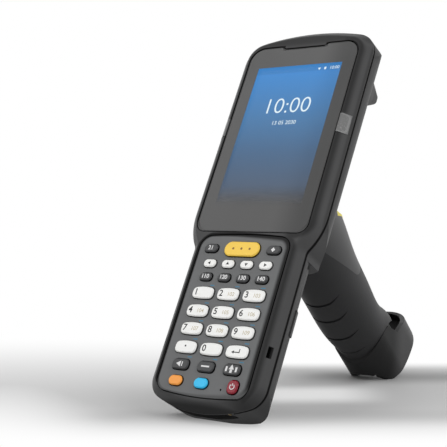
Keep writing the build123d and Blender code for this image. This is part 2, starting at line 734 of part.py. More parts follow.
with BuildPart() as chassis_frame:
    with BuildSketch(front_at(FRONT_DEPTH)):
        add(case_outline(CHASSIS_INSET))
        with Locations((0, END_BLOCK + TRIM_GAP - ACROSS_MODEL / 2)):
            Rectangle(2 * ACROSS_MODEL, ACROSS_MODEL, mode=Mode.SUBTRACT)
        with Locations((0, MAIN_BOARD_BOTTOM + FLEX_SLOT[1])):
            SlotOverall(*FLEX_SLOT, mode=Mode.SUBTRACT)
        with Locations(*SCREW_POSTS):
            Circle(SCREW_SHAFT + SCREW_CLEAR, mode=Mode.SUBTRACT)
    extrude(amount=CHASSIS_THICK, dir=INTO_CASE)
    with BuildSketch(front_at(CHASSIS_BACK)):
        with Locations((0, BOARD_MIDDLE)):
            with GridLocations(
                2 * (MAIN_BOARD_HALF - STANDOFF_RADIUS), BOARD_HEIGHT - 2 * STANDOFF_RADIUS, 2, 2
            ):
                Circle(STANDOFF_RADIUS)
    extrude(amount=STANDOFF, dir=INTO_CASE)
save(chassis_frame.part, "chassis_frame")

with BuildPart() as main_board:
    with BuildSketch(front_at(BOARD_FRONT)):
        with Locations((0, BOARD_MIDDLE)):
            Rectangle(2 * MAIN_BOARD_HALF, BOARD_HEIGHT)
    extrude(amount=MAIN_BOARD_THICK, dir=INTO_CASE)
save(main_board.part, "main_board")

with BuildPart() as scan_engine:
    with BuildSketch(front_at(BOARD_BACK)):
        with Locations((0, MAIN_BOARD_TOP - ENGINE_HEIGHT / 2)):
            Rectangle(2 * ENGINE_HALF, ENGINE_HEIGHT)
    extrude(amount=ENGINE_DEPTH, dir=INTO_CASE)
    # lens barrel and aiming window look out of the upper end
    with BuildSketch(across_at(MAIN_BOARD_TOP)):
        with Locations((-ENGINE_HALF / 3, BOARD_BACK + ENGINE_DEPTH / 2)):
            Circle(ENGINE_LENS)
        with Locations((ENGINE_HALF / 2, BOARD_BACK + ENGINE_DEPTH / 2)):
            Rectangle(ENGINE_LENS, ENGINE_LENS)
    extrude(amount=ENGINE_BARREL, dir=UP_CASE)
save(scan_engine.part, "scan_engine")

with BuildPart() as speaker:
    with BuildSketch(front_at(BOARD_BACK)):
        with Locations((-SPEAKER_OUT, SPEAKER_UP)):
            Circle(SPEAKER_RADIUS)
    extrude(amount=SPEAKER_DEPTH, dir=INTO_CASE)
    with BuildSketch(front_at(BOARD_BACK + SPEAKER_DEPTH)):
        with Locations((-SPEAKER_OUT, SPEAKER_UP)):
            Circle(SPEAKER_RADIUS / 2)
    extrude(amount=SPEAKER_DEPTH / 4, dir=INTO_CASE)
save(speaker.part, "speaker")

# ---------------------------------------------------------------- rear housing and what it carries

# The scan window lies in the sloping upper end.
slope = Vector(0, 0, 0) + INTO_CASE * TOP_FALL + UP_CASE * (HEAD_DEPTH_HIGH - TOP_LAND)
WINDOW = Plane(
    case_origin
    + INTO_CASE * ((TOP_LAND + HEAD_DEPTH_HIGH) / 2)
    + UP_CASE * (CASE_LENGTH - TOP_FALL / 2),
    x_dir=RIGHT,
    z_dir=slope,
)

with BuildPart() as rear_housing:
    add(CASE_FORM)
    # guard ridge across the upper back
    with BuildSketch(front_at(HEAD_DEPTH_HIGH - RIDGE_ROOT)):
        with Locations((0, RIDGE_MIDDLE)):
            RectangleRounded(2 * RIDGE_HALF, RIDGE_FOOT, RIDGE_FOOT / 3)
    with BuildSketch(front_at(HEAD_DEPTH_HIGH + RIDGE_PROUD)):
        with Locations((0, RIDGE_MIDDLE + RIDGE_LEAN)):
            RectangleRounded(2 * RIDGE_HALF - RIDGE_FOOT / 2, RIDGE_TOP, RIDGE_TOP / 3)
    loft()
    fillet(rear_housing.faces().sort_by(TO_VIEWER)[0].edges(), radius=RIDGE_SOFTEN)
    add(HEAD_CAVITY, mode=Mode.SUBTRACT)
    # shallow tray in front of the battery floor, up to the solid lower end
    with BuildSketch(front_at(SEAM_BACK)):
        add(case_outline(WALL))
        with Locations((0, END_BLOCK - ACROSS_MODEL / 2)):
            Rectangle(2 * ACROSS_MODEL, ACROSS_MODEL, mode=Mode.SUBTRACT)
    extrude(amount=TRAY_BACK - TRAY_FLOOR - SEAM_BACK, dir=INTO_CASE, mode=Mode.SUBTRACT)
    # battery bay, open to the back and to both sides
    with BuildSketch(front_at(TRAY_BACK)):
        with Locations((0, (BAY_TOP + BAY_BOTTOM) / 2)):
            Rectangle(2 * ACROSS_MODEL, BAY_TOP - BAY_BOTTOM)
    extrude(amount=LOWER_DEPTH, dir=INTO_CASE, mode=Mode.SUBTRACT)
    with BuildSketch(front_at(TRAY_BACK - TRAY_FLOOR)):
        with Locations((0, CONTACT_UP)):
            Rectangle(2 * CONTACT_HALF + SEAT * 2, CONTACT_HEIGHT + SEAT * 2)
    extrude(amount=TRAY_FLOOR, dir=INTO_CASE, mode=Mode.SUBTRACT)
    # dock port in the lower end
    with BuildSketch(across_at(-END_RADIUS)):
        with Locations((0, SEAM_BACK + DOCK_DEPTH / 2)):
            Rectangle(2 * (DOCK_HALF + SEAT), DOCK_DEPTH + 2 * SEAT)
    extrude(amount=END_RADIUS + DOCK_BACK, dir=UP_CASE, mode=Mode.SUBTRACT)
    # scan window: glazing rebate, then the opening
    with BuildSketch(WINDOW):
        Rectangle(2 * (EXIT_HALF + TRIM_GAP / 2), EXIT_HEIGHT + TRIM_GAP)
    extrude(amount=-EXIT_REBATE, mode=Mode.SUBTRACT)
    with BuildSketch(WINDOW):
        Rectangle(2 * (EXIT_HALF - EXIT_LEDGE), EXIT_HEIGHT - 2 * EXIT_LEDGE)
    extrude(amount=-2 * WALL, mode=Mode.SUBTRACT)
    # screw wells
    with BuildSketch(front_at(POST_WELL)):
        with Locations(*SCREW_POSTS):
            Circle(SCREW_HEAD + SCREW_CLEAR)
    extrude(amount=HEAD_DEPTH_HIGH, dir=INTO_CASE, mode=Mode.SUBTRACT)
    with BuildSketch(front_at(POST_WELL)):
        with Locations(*SCREW_POSTS):
            Circle(SCREW_SHAFT + SCREW_CLEAR)
    extrude(amount=POST_WELL, dir=TO_FRONT, mode=Mode.SUBTRACT)
    split(bisect_by=Plane.XY, keep=Keep.TOP)
save(rear_housing.part, "rear_housing")

with BuildPart() as exit_window:
    with BuildSketch(WINDOW.offset(-EXIT_REBATE)):
        Rectangle(2 * EXIT_HALF, EXIT_HEIGHT)
    extrude(amount=EXIT_THICK)
save(exit_window.part, "exit_window")

with BuildPart() as dock_connector:
    with BuildSketch(across_at(DOCK_FACE)):
        with Locations((0, SEAM_BACK + DOCK_DEPTH / 2)):
            Rectangle(2 * DOCK_HALF, DOCK_DEPTH)
        with Locations(*[(x, DOCK_PIN_DEEP) for x in DOCK_PINS]):
            Rectangle(DOCK_PIN, DOCK_PIN, mode=Mode.SUBTRACT)
    extrude(amount=DOCK_BACK - DOCK_FACE, dir=UP_CASE)
save(dock_connector.part, "dock_connector")

with BuildPart() as dock_contacts:
    with BuildSketch(across_at(DOCK_FACE - DOCK_PIN_PROUD)):
        with Locations(*[(x, DOCK_PIN_DEEP) for x in DOCK_PINS]):
            Rectangle(DOCK_PIN, DOCK_PIN)
    extrude(amount=DOCK_BACK - DOCK_FACE + DOCK_PIN_PROUD, dir=UP_CASE)
save(dock_contacts.part, "dock_contacts")

with BuildPart() as battery_contacts:
    with BuildSketch(front_at(TRAY_BACK - TRAY_FLOOR)):
        with Locations((0, CONTACT_UP)):
            Rectangle(2 * CONTACT_HALF, CONTACT_HEIGHT)
    extrude(amount=TRAY_FLOOR, dir=INTO_CASE)
    with BuildSketch(front_at(TRAY_BACK)):
        with Locations((0, CONTACT_UP)):
            with GridLocations(CONTACT_HALF / 2, 0, 4, 1):
                Rectangle(CONTACT_HALF / 5, CONTACT_HEIGHT / 2)
    extrude(amount=(BATTERY_FRONT - TRAY_BACK) / 2, dir=INTO_CASE)
save(battery_contacts.part, "battery_contacts")

# ---------------------------------------------------------------- battery

with BuildPart() as battery_pack:
    add(CASE_FORM)
    with BuildSketch(front_at(BATTERY_FRONT)):
        with Locations((0, (BATTERY_TOP + BATTERY_BOTTOM) / 2)):
            Rectangle(2 * ACROSS_MODEL, BATTERY_TOP - BATTERY_BOTTOM)
    extrude(amount=LOWER_DEPTH, dir=INTO_CASE, mode=Mode.INTERSECT)
    # the inner upper edge slopes back, so that the pack swings clear of the bay
    with BuildSketch(SIDE):
        with BuildLine():
            Polyline(
                (0, BATTERY_TOP - BATTERY_DRAFT),
                (BATTERY_FRONT, BATTERY_TOP - BATTERY_DRAFT),
                (LOWER_DEPTH, BATTERY_TOP),
                (LOWER_DEPTH, BATTERY_TOP + ACROSS_MODEL),
                (0, BATTERY_TOP + ACROSS_MODEL),
                close=True,
            )
        make_face()
    extrude(amount=ACROSS_MODEL, both=True, mode=Mode.SUBTRACT)
    with BuildSketch(front_at(BATTERY_FRONT + WALL)):
        with Locations((0, (BATTERY_TOP + BATTERY_BOTTOM) / 2)):
            Rectangle(2 * CELL_HALF, CELL_HEIGHT)
    extrude(amount=CELL_DEPTH, dir=INTO_CASE, mode=Mode.SUBTRACT)
    with BuildSketch(front_at(0)):
        with Locations((0, (LATCH_TOP + LATCH_BOTTOM) / 2)):
            Rectangle(2 * ACROSS_MODEL, LATCH_TOP - LATCH_BOTTOM + 2 * LATCH_GAP)
            Rectangle(2 * LATCH_POCKET, ACROSS_MODEL, mode=Mode.SUBTRACT)
    extrude(amount=LATCH_FRONT + LATCH_DEPTH + LATCH_GAP, dir=INTO_CASE, mode=Mode.SUBTRACT)
save(battery_pack.part, "battery_pack")

with BuildPart() as battery_cells:
    with BuildSketch(front_at(BATTERY_FRONT + WALL + SEAT)):
        with Locations((0, (BATTERY_TOP + BATTERY_BOTTOM) / 2)):
            with GridLocations(CELL_HALF, 0, 2, 1):
                Rectangle(CELL_HALF - 2 * SEAT, CELL_HEIGHT - 2 * SEAT)
    extrude(amount=CELL_DEPTH - 2 * SEAT, dir=INTO_CASE)
save(battery_cells.part, "battery_cells")

# Each latch button stands proud of the battery's side and follows its curve.
for name, side in (("battery_latch_left", -1), ("battery_latch_right", 1)):
    with BuildPart() as latch:
        with BuildSketch(across_at(LATCH_BOTTOM)):
            add(back_section(LOWER_HALF, LOWER_DEPTH, LOWER_BACK_RADIUS, -LATCH_PROUD))
        extrude(amount=LATCH_TOP - LATCH_BOTTOM)
        with BuildSketch(across_at(0)):
            with Locations((side * (LATCH_INNER + ACROSS_MODEL / 2), LATCH_FRONT + LATCH_DEPTH / 2)):
                Rectangle(ACROSS_MODEL, LATCH_DEPTH)
        extrude(amount=CASE_LENGTH, mode=Mode.INTERSECT)
        with BuildSketch(front_at(0)):
            with Locations((side * (LOWER_HALF + LATCH_PROUD), (LATCH_TOP + LATCH_BOTTOM) / 2)):
                with GridLocations(0, (LATCH_TOP - LATCH_BOTTOM) / (LATCH_RIBS + 1), 1, LATCH_RIBS):
                    Rectangle(2 * LATCH_CUT, LATCH_CUT)
        extrude(amount=LOWER_DEPTH, dir=INTO_CASE, mode=Mode.SUBTRACT)
    save(latch.part, name)

# ---------------------------------------------------------------- grip


def slab(zone):
    """A side-view zone of the grip, taken right across the model."""
    with BuildPart() as block:
        with BuildSketch(GRIP_SIDE):
            add(zone)
        extrude(amount=ACROSS_MODEL, both=True)
    return block.part


COLLAR_BLOCK = slab(collar_zone())
BASE_BLOCK = slab(base_zone())

with BuildPart() as sleeve_grooves:
    for reach in GROOVES:
        with BuildSketch(GRIP_SIDE):
            with BuildLine():
                Polyline(
                    (reach - GROOVE_WIDTH / 2, -ACROSS_MODEL / 2),
                    (reach + GROOVE_WIDTH / 2, -ACROSS_MODEL / 2),
                    (reach + GROOVE_WIDTH / 2, GROOVE_PALM),
                    (reach - GROOVE_RISE, GROOVE_SIDE),
                    (reach - GROOVE_WIDTH / 2, GROOVE_PALM),
                    close=True,
                )
            make_face()
        extrude(amount=ACROSS_MODEL, both=True)
    add(grip_form(GROOVE_DEPTH), mode=Mode.SUBTRACT)

with BuildPart() as grip_sleeve:
    add(GRIP_FORM)
    add(GRIP_CORE, mode=Mode.SUBTRACT)
    add(COLLAR_BLOCK, mode=Mode.SUBTRACT)
    add(BASE_BLOCK, mode=Mode.SUBTRACT)
    add(CASE_FORM, mode=Mode.SUBTRACT)
    add(sleeve_grooves.part, mode=Mode.SUBTRACT)
save(grip_sleeve.part, "grip_sleeve")

with BuildPart() as collar:
    add(GRIP_FORM)
    add(COLLAR_BLOCK, mode=Mode.INTERSECT)

with BuildPart() as grip_body:
    add(GRIP_CORE)
    add(BASE_BLOCK, mode=Mode.SUBTRACT)
    add(collar.part)
    add(CASE_FORM, mode=Mode.SUBTRACT)
    # notch that bares the trigger's sides
    with BuildSketch(GRIP_SIDE):
        with BuildLine():
            Polyline(
                (EAR_EDGE, ACROSS_MODEL), (EAR_EDGE, NOTCH_EAR), NOTCH_LOW, NOTCH_LIP,
                (NOTCH_LIP[0] + HUB_RADIUS, ACROSS_MODEL), close=True,
            )
        make_face()
    extrude(amount=ACROSS_MODEL, both=True, mode=Mode.SUBTRACT)
    # bay in which the trigger swings
    with BuildSketch(GRIP_SIDE):
        with BuildLine():
            Polyline(
                (BAY_START, ACROSS_MODEL), (BAY_START, PIVOT[1] - HUB_RADIUS - 2),
                (PIVOT[0], BAY_FLOOR), (LIP_FOOT[0] - HUB_RADIUS, BAY_FLOOR), LIP_FOOT,
                (LIP_FOOT[0] - 1, PIVOT[1]), LIP_INNER, (LIP_EDGE, LIP_INNER[1] + HUB_RADIUS),
                (LIP_EDGE, ACROSS_MODEL), close=True,
            )
        make_face()
    extrude(amount=TRIGGER_HALF + TRIGGER_SIDE_GAP, both=True, mode=Mode.SUBTRACT)
    with BuildSketch(GRIP_SIDE):
        with Locations(PIVOT):
            Circle(PIN_RADIUS)
    extrude(amount=PIN_HALF, both=True, mode=Mode.SUBTRACT)
    # case screws of the grip, put in from the left
    with BuildSketch(GRIP_SIDE.offset(-GRIP_SCREW_SEAT)):
        with Locations(*GRIP_SCREWS):
            Circle(SCREW_HEAD + SCREW_CLEAR)
    extrude(amount=-ACROSS_MODEL, mode=Mode.SUBTRACT)
    with BuildSketch(GRIP_SIDE.offset(-GRIP_SCREW_SEAT)):
        with Locations(*GRIP_SCREWS):
            Circle(SCREW_SHAFT + SCREW_CLEAR)
    extrude(amount=GRIP_SCREW_LENGTH + SCREW_CLEAR, mode=Mode.SUBTRACT)
    with BuildSketch(grip_at(BASE_SCREW_TIP)):
        with Locations(*BASE_SCREWS):
            Circle(SCREW_SHAFT + SCREW_CLEAR)
    extrude(amount=HEEL_FLOOR, mode=Mode.SUBTRACT)

HOLLOW_FORM = grip_form(SLEEVE_THICK + WALL)

with BuildPart() as grip_hollow:
    add(HOLLOW_FORM)
    with BuildSketch(grip_at(HOLLOW_START)):
        Circle(ACROSS_MODEL)
    extrude(amount=HOLLOW_END - HOLLOW_START, mode=Mode.INTERSECT)

for name, keep in (("handle_shell_right", Keep.TOP), ("handle_shell_left", Keep.BOTTOM)):
    with BuildPart() as handle_shell:
        add(grip_body.part)
        add(grip_hollow.part, mode=Mode.SUBTRACT)
        split(bisect_by=Plane.YZ, keep=keep)
    save(handle_shell.part, name)

# ---------------------------------------------------------------- heel piece

heel_middle = (GRIP_SKIN[-1][2] + GRIP_SKIN[-1][3]) / 2
heel_depth = (GRIP_SKIN[-1][2] - GRIP_SKIN[-1][3]) / 2


def heel_plan(inset):
    """Heel seen along the grip: the grip's own oval drawn out into a rounded nose."""
    half = HEEL_HALF - inset
    nose = HEEL_NOSE - inset
    with BuildSketch() as plan:
        with Locations((0, (heel_middle + nose) / 2)):
            Rectangle(2 * half, nose - heel_middle)
        fillet(plan.vertices().group_by(Axis.Y)[-1], radius=HEEL_NOSE_RADIUS - inset)
        with Locations((0, heel_middle)):
            Ellipse(half, heel_depth - inset)
    return plan.sketch


def heel_side(upper):
    """Side view of the heel below a given upper edge, down to its feet and curved floor."""
    foot_end = (
        FOOT_CENTRE[0] + FOOT_RADIUS * cos(radians(FOOT_SWEEP)),
        FOOT_CENTRE[1] - FOOT_RADIUS * sin(radians(FOOT_SWEEP)),
    )
    palm_run = ACROSS_MODEL / 3
    with BuildSketch() as side:
        with BuildLine():
            Polyline(*upper)
            ThreePointArc(upper[-1], HEEL_CHIN, HEEL_BELLY)
            ThreePointArc(
                HEEL_BELLY, (HEEL_FLOOR, HEEL_BELLY[1] / 3), (FOOT_CENTRE[0] + FOOT_RADIUS, FOOT_CENTRE[1])
            )
            CenterArc(FOOT_CENTRE, FOOT_RADIUS, 0, -FOOT_SWEEP)
            Polyline(
                foot_end,
                (
                    foot_end[0] - palm_run * sin(radians(FOOT_SWEEP)),
                    foot_end[1] - palm_run * cos(radians(FOOT_SWEEP)),
                ),
                upper[0],
            )
        make_face()
    return side.sketch


PALM_EDGE = (HOLLOW_END, -ACROSS_MODEL / 2)
SCOOP_RIM = (PALM_EDGE, (HOLLOW_END, RIM_START), RIM_DIP, RIM_RISE, RIM_NOSE)

with BuildPart() as scoop:
    with BuildSketch(grip_at(HOLLOW_END)):
        add(heel_plan(0))
    extrude(amount=HEEL_FLOOR)
    with BuildSketch(GRIP_SIDE):
        add(heel_side(SCOOP_RIM))
    extrude(amount=ACROSS_MODEL, both=True, mode=Mode.INTERSECT)

with BuildPart() as handle_base:
    add(scoop.part)
    with BuildSketch(grip_at(HOLLOW_END)):
        add(heel_plan(HEEL_WALL))
    extrude(amount=SCOOP_FLOOR - HOLLOW_END, mode=Mode.SUBTRACT)
    # end of the grip, which fills the palm half of the scoop
    with BuildSketch(grip_at(HOLLOW_END)):
        with Locations((0, heel_middle)):
            Ellipse(HEEL_HALF - SECTION_SPARE, heel_depth - SECTION_SPARE)
    extrude(amount=FOOT_CENTRE[0] - HOLLOW_END)
    add(BASE_BLOCK, mode=Mode.INTERSECT)
    with BuildSketch(GRIP_SIDE):
        add(heel_side((PALM_EDGE, (HOLLOW_END, HEEL_NOSE), RIM_NOSE)))
    extrude(amount=ACROSS_MODEL, both=True, mode=Mode.INTERSECT)
    # channel between the feet
    with BuildSketch(grip_at(CHANNEL_FLOOR)):
        with Locations((0, (CHANNEL_END - ACROSS_MODEL) / 2)):
            Rectangle(2 * CHANNEL_HALF, CHANNEL_END + ACROSS_MODEL)
    extrude(amount=HEEL_FLOOR, mode=Mode.SUBTRACT)
    with BuildSketch(grip_at(CHANNEL_FLOOR - SCREW_HEAD_HEIGHT)):
        with Locations(*BASE_SCREWS):
            Circle(SCREW_HEAD + SCREW_CLEAR)
    extrude(amount=HEEL_FLOOR, mode=Mode.SUBTRACT)
    with BuildSketch(grip_at(HOLLOW_END)):
        with Locations(*BASE_SCREWS):
            Circle(SCREW_SHAFT + SCREW_CLEAR)
    extrude(amount=HEEL_FLOOR, mode=Mode.SUBTRACT)
    split(bisect_by=Plane.XY, keep=Keep.TOP)
save(handle_base.part, "handle_base")

# ---------------------------------------------------------------- trigger

with BuildPart() as trigger:
    with BuildSketch(GRIP_SIDE):
        with BuildLine():
            ThreePointArc(TRIGGER_TOP, TRIGGER_DISH, TRIGGER_TOE)
            ThreePointArc(TRIGGER_TOE, TRIGGER_TIP, TRIGGER_HEEL)
            Polyline(TRIGGER_HEEL, TRIGGER_TAIL, TRIGGER_BACK, TRIGGER_TOP)
        make_face()
        with Locations(PIVOT):
            Circle(HUB_RADIUS)
    extrude(amount=TRIGGER_HALF, both=True)
    with BuildSketch(GRIP_SIDE):
        with Locations(PIVOT):
            Circle(PIN_RADIUS + PIN_RUNNING)
    extrude(amount=ACROSS_MODEL, both=True, mode=Mode.SUBTRACT)
save(trigger.part, "trigger")

with BuildPart() as trigger_pin:
    with BuildSketch(GRIP_SIDE):
        with Locations(PIVOT):
            Circle(PIN_RADIUS)
    extrude(amount=PIN_HALF, both=True)
save(trigger_pin.part, "trigger_pin")

with BuildPart() as trigger_switch:
    with BuildSketch(GRIP_SIDE):
        with Locations((SWITCH_REACH, BAY_FLOOR + SWITCH_HEIGHT / 2)):
            Rectangle(2 * SWITCH_HEIGHT, SWITCH_HEIGHT)
        with Locations((SWITCH_REACH, BAY_FLOOR + SWITCH_HEIGHT + PLUNGER / 2)):
            Rectangle(2 * PLUNGER, PLUNGER)
    extrude(amount=SWITCH_HALF, both=True)
save(trigger_switch.part, "trigger_switch")

spring_foot = GRIP_SIDE.from_local_coords(Vector(SPRING_REACH, BAY_FLOOR + SPRING_WIRE + SEAT, 0))
spring_back = TRIGGER_BACK[1] + (TRIGGER_TAIL[1] - TRIGGER_BACK[1]) * (
    (SPRING_REACH - TRIGGER_BACK[0]) / (TRIGGER_TAIL[0] - TRIGGER_BACK[0])
)
spring_height = spring_back - BAY_FLOOR - 2 * (SPRING_WIRE + SEAT) - SEAT

with BuildPart() as trigger_spring:
    with BuildLine() as coil:
        Helix(
            pitch=spring_height / SPRING_TURNS,
            height=spring_height,
            radius=SPRING_RADIUS,
            center=spring_foot,
            direction=GRIP_SIDE.y_dir,
        )
    with BuildSketch(Plane(coil.line @ 0, z_dir=coil.line % 0)):
        Circle(SPRING_WIRE)
    sweep(path=coil.line, is_frenet=True)
save(trigger_spring.part, "trigger_spring")

# ---------------------------------------------------------------- screws

with BuildPart() as screws:
    with BuildSketch(front_at(POST_WELL)):
        with Locations(*SCREW_POSTS):
            Circle(SCREW_HEAD)
    extrude(amount=SCREW_HEAD_HEIGHT, dir=INTO_CASE)
    with BuildSketch(front_at(POST_WELL)):
        with Locations(*SCREW_POSTS):
            Circle(SCREW_SHAFT)
    extrude(amount=POST_WELL - SCREW_TIP, dir=TO_FRONT)
    with BuildSketch(GRIP_SIDE.offset(-GRIP_SCREW_SEAT)):
        with Locations(*GRIP_SCREWS):
            Circle(SCREW_HEAD)
    extrude(amount=-SCREW_HEAD_HEIGHT)
    with BuildSketch(GRIP_SIDE.offset(-GRIP_SCREW_SEAT)):
        with Locations(*GRIP_SCREWS):
            Circle(SCREW_SHAFT)
    extrude(amount=GRIP_SCREW_LENGTH)
    with BuildSketch(grip_at(CHANNEL_FLOOR - SCREW_HEAD_HEIGHT)):
        with Locations(*BASE_SCREWS):
            Circle(SCREW_HEAD)
    extrude(amount=SCREW_HEAD_HEIGHT)
    with BuildSketch(grip_at(BASE_SCREW_TIP)):
        with Locations(*BASE_SCREWS):
            Circle(SCREW_SHAFT)
    extrude(amount=CHANNEL_FLOOR - SCREW_HEAD_HEIGHT - BASE_SCREW_TIP)
save(screws.part, "screws")
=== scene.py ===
"""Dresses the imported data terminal: finishes, lit display, printed keys and a plain studio."""

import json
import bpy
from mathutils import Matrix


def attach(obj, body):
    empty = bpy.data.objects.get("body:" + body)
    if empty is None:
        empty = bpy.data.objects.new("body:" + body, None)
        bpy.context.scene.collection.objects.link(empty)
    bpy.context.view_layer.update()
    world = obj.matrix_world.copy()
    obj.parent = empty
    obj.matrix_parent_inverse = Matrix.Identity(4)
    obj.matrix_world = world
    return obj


bl_info = {
    "name": "Data terminal finishes",
    "version": (1, 0, 0),
    "blender": (4, 5, 0),
    "location": "View3D > Sidebar > Terminal",
    "description": "Finishes, display, key legends and studio for a pistol-grip data terminal",
    "category": "Object",
}

from math import atan2, cos, pi, radians, sin

import bmesh
import bpy
from bpy.props import FloatProperty, FloatVectorProperty, PointerProperty
from bpy.types import Operator, Panel, PropertyGroup
from mathutils import Matrix, Vector

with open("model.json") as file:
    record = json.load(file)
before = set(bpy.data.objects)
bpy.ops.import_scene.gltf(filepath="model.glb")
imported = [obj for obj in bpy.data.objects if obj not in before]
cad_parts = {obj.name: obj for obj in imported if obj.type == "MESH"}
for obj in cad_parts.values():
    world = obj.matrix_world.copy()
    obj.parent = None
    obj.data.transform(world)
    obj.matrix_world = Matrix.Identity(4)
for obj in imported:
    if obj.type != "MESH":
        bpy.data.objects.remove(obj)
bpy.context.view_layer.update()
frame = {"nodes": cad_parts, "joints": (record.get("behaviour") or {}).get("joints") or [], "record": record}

MM = 0.001
TERMINAL = "terminal"

# The case frame: x to the right, u up the case, h out of the front rim towards the reader.
# Materials count depth into the case instead, which is -h.
KEY_PRESS = next(joint for joint in frame["joints"] if joint["name"] == "key_1_press")
DOCK = next(mount for mount in frame["record"]["mounts"] if mount["name"] == "dock_face")
DOCK_HEIGHT = 2.6 * MM  # the dock face in the case frame
DOCK_DEPTH = 8.4 * MM
INTO_CASE = Vector(KEY_PRESS["axis"]).normalized()
UP_CASE = Vector((0.0, -INTO_CASE.z, INTO_CASE.y))
CASE_ORIGIN = Vector(DOCK["pos_m"]) - UP_CASE * DOCK_HEIGHT - INTO_CASE * DOCK_DEPTH
CASE = Matrix.Translation(CASE_ORIGIN) @ Matrix((Vector((1, 0, 0)), UP_CASE, -INTO_CASE)).transposed().to_4x4()
TO_CASE = CASE.inverted()
LEAN = atan2(UP_CASE.y, UP_CASE.z)

HOLLOW = next(space for space in frame["record"]["physics"]["openings"] if space["name"] == "heel_scoop")
SCOOP = sum((Vector(HOLLOW["box_m"][end]) for end in (0, 1)), Vector()) / 2

KEY_TOP = max((TO_CASE @ corner.co).z for corner in frame["nodes"]["key_1"].data.vertices)
PRINT_SINK = 0.01 * MM  # prints start this far inside their key
PRINT_THICK = 0.03 * MM
SEAM_DEPTH = 5.5 * MM  # middle of the gasket
PICTURE_DEPTH = 1.29 * MM  # the display's picture behind the rim

# rows and columns of the keys, in millimetres
DIGIT_ROWS = ((55.2, "123"), (46.2, "456"), (37.35, "789"))
UPPER_ROW = 78.0
ARROW_ROW = 70.2
CONTROL_ROW = 63.3
LOWER_ROW = 20.0
WIDE_PITCH = 14.19
NARROW_PITCH = 10.40
NARROW_COLUMNS = (-1.5, -0.5, 0.5, 1.5)
UPPER_SIDE = 17.5  # the small keys beside the scan key
DIGIT_SIZE = 4.3
DIGIT_OFF = 3.6  # a digit stands this far left of its key's middle
PRINT_LEAN = -0.02
PRINT_WEIGHT = 0.07

# openings of the front housing: middle across, middle height, half width, half height and corner, in metres
EDGE_SOCKETS = ("Middle across", "Middle height", "Half width", "Half height", "Corner")
GLASS_EDGE = (0.0, 0.1399, 0.0312, 0.0524, 0.0070)
TAB_EDGE = (0.0, 0.1935, 0.0127, 0.0028, 0.0008)
BEZEL_EDGE = (0.0, 0.04585, 0.0250, 0.03975, 0.0060)
PIPE_EDGE = (0.0320, 0.1455, 0.0042, 0.0050, 0.0020)

# Ramps over places in metres: where each starts and ends, and then its two values, 0 and 1 where none are given.
# painted shade on the case halves: along the seam, on the head's sides, top bumper, lower end and right corner, in
# the joints, on the right slope and in the catch recess
SEAM_LINE = (0.0007, 0.0012, 0.85, 0.0)  # away from the gasket's middle
HEAD_SIDES = (0.0360, 0.0370, 0.0, 0.36)
TOP_BUMPER = (0.1905, 0.1945, 0.0, 0.50)
LOWER_END = (0.0022, 0.0050, 0.72, 0.0)
LOWER_CORNER = (0.003, 0.018, 0.62, 0.0)
LOWER_CORNER_SIDE = (0.012, 0.024)
JOINT_SIDES = (-0.022, 0.022)  # a joint changes its width between these
GLASS_JOINT = (0.0011, 0.0009)  # its width on the left and on the right
GLASS_JOINT_END = (0.0885, 0.0915, 0.55, 1.0)
KEYPAD_JOINT = (0.0021, 0.0008)
KEYPAD_JOINT_END = (0.0085, 0.013, 0.35, 1.0)
JOINT_CORE = 0.62  # share of its width in which a joint's painted shade is fully dark
RIGHT_SLOPE = (0.018, 0.0235)
RIGHT_SLOPE_SHADE = 0.62
NEAR_RIM = (0.0022, 0.0042, 1.0, 0.0)
CATCH_HEIGHT = 0.0304  # middle of the catch recess in the lower case's sides
CATCH_REACH = (0.0024, 0.0028, 1.0, 0.0)
CATCH_NEAR = (0.0012, 0.0014)
CATCH_FAR = (0.0028, 0.0032, 1.0, 0.0)
# painted shade on the rear half: its foot, sloping top, head and guard ridge
REAR_FOOT = (0.003, 0.022, 0.52, 0.0)
REAR_TOP = (0.180, 0.190, 0.0, 0.85)
REAR_HEAD = (0.085, 0.100, 0.0, 0.36)
GUARD_RIDGE = (0.0235, 0.0275, 0.0, 0.75)
# painted shade on the heel: inside its scoop and towards the case
SCOOP_SHADE = (0.0085, 0.0105, 0.9, 0.0)
HEEL_FRONT = (0.062, 0.076, 0.72, 0.05)
PLATE_BOW = (0.006, 0.086, -0.0022, 0.0012)  # bow of the keypad plate's ends
PLATE_HALF = 0.025
# painted shade on the keypad plate's rim and round the keys
PLATE_RIM = (-0.02, 0.02, -0.0009, -0.0028)
PLATE_RIM_EDGE = 0.22
PLATE_RIM_END = (0.0085, 0.014, 0.45, 1.0)
WELL_REACH = 0.0011
WELL_OPEN = (0.30, 0.85, 1.0, 0.0)
WELL_SHADE = 0.8
# painted shade on the key caps' feet
CAP_FOOT = (-0.00075, -0.00045, 0.0, 0.93)
CAP_FOOT_TONE = 0.06
PIPE_SPECKS = 1400.0
SPECK_SPREAD = (0.15, 0.45, 1.0, 0.0)
SPECK_HEIGHTS = (0.1415, 0.1475, 1.0, 0.25)
PIPE_PALE = 2.6
# painted highlight along the light pipe's rim
PIPE_RIM = (-0.0009, -0.0004)
PIPE_RIM_SHARE = 0.55
PIPE_OUTSIDE = (-0.0001, 0.0001)
PIPE_LEFT = (-0.001, 0.001, 1.0, 0.0)
PICTURE_STOPS = (0.40, 0.64)  # heights of the picture's two middle colours
PICTURE_RIGHT = (0.008, 0.026, 1.0, 0.84)
STATUS_STRIP = (0.1765, 0.1775, 1.0, 0.86)
LIT_EDGE = 0.0001  # width of the lit area's edge
PRINT_FADE = (0.0008, 0.014)  # above the lit area's lower edge
GLASS_FRONT = (0.0006, 0.0008, 1.0, 0.0)
GLASS_CLOUDS = 35.0
GLASS_ROUGHNESS = (0.3, 0.7, 0.10, 0.20)
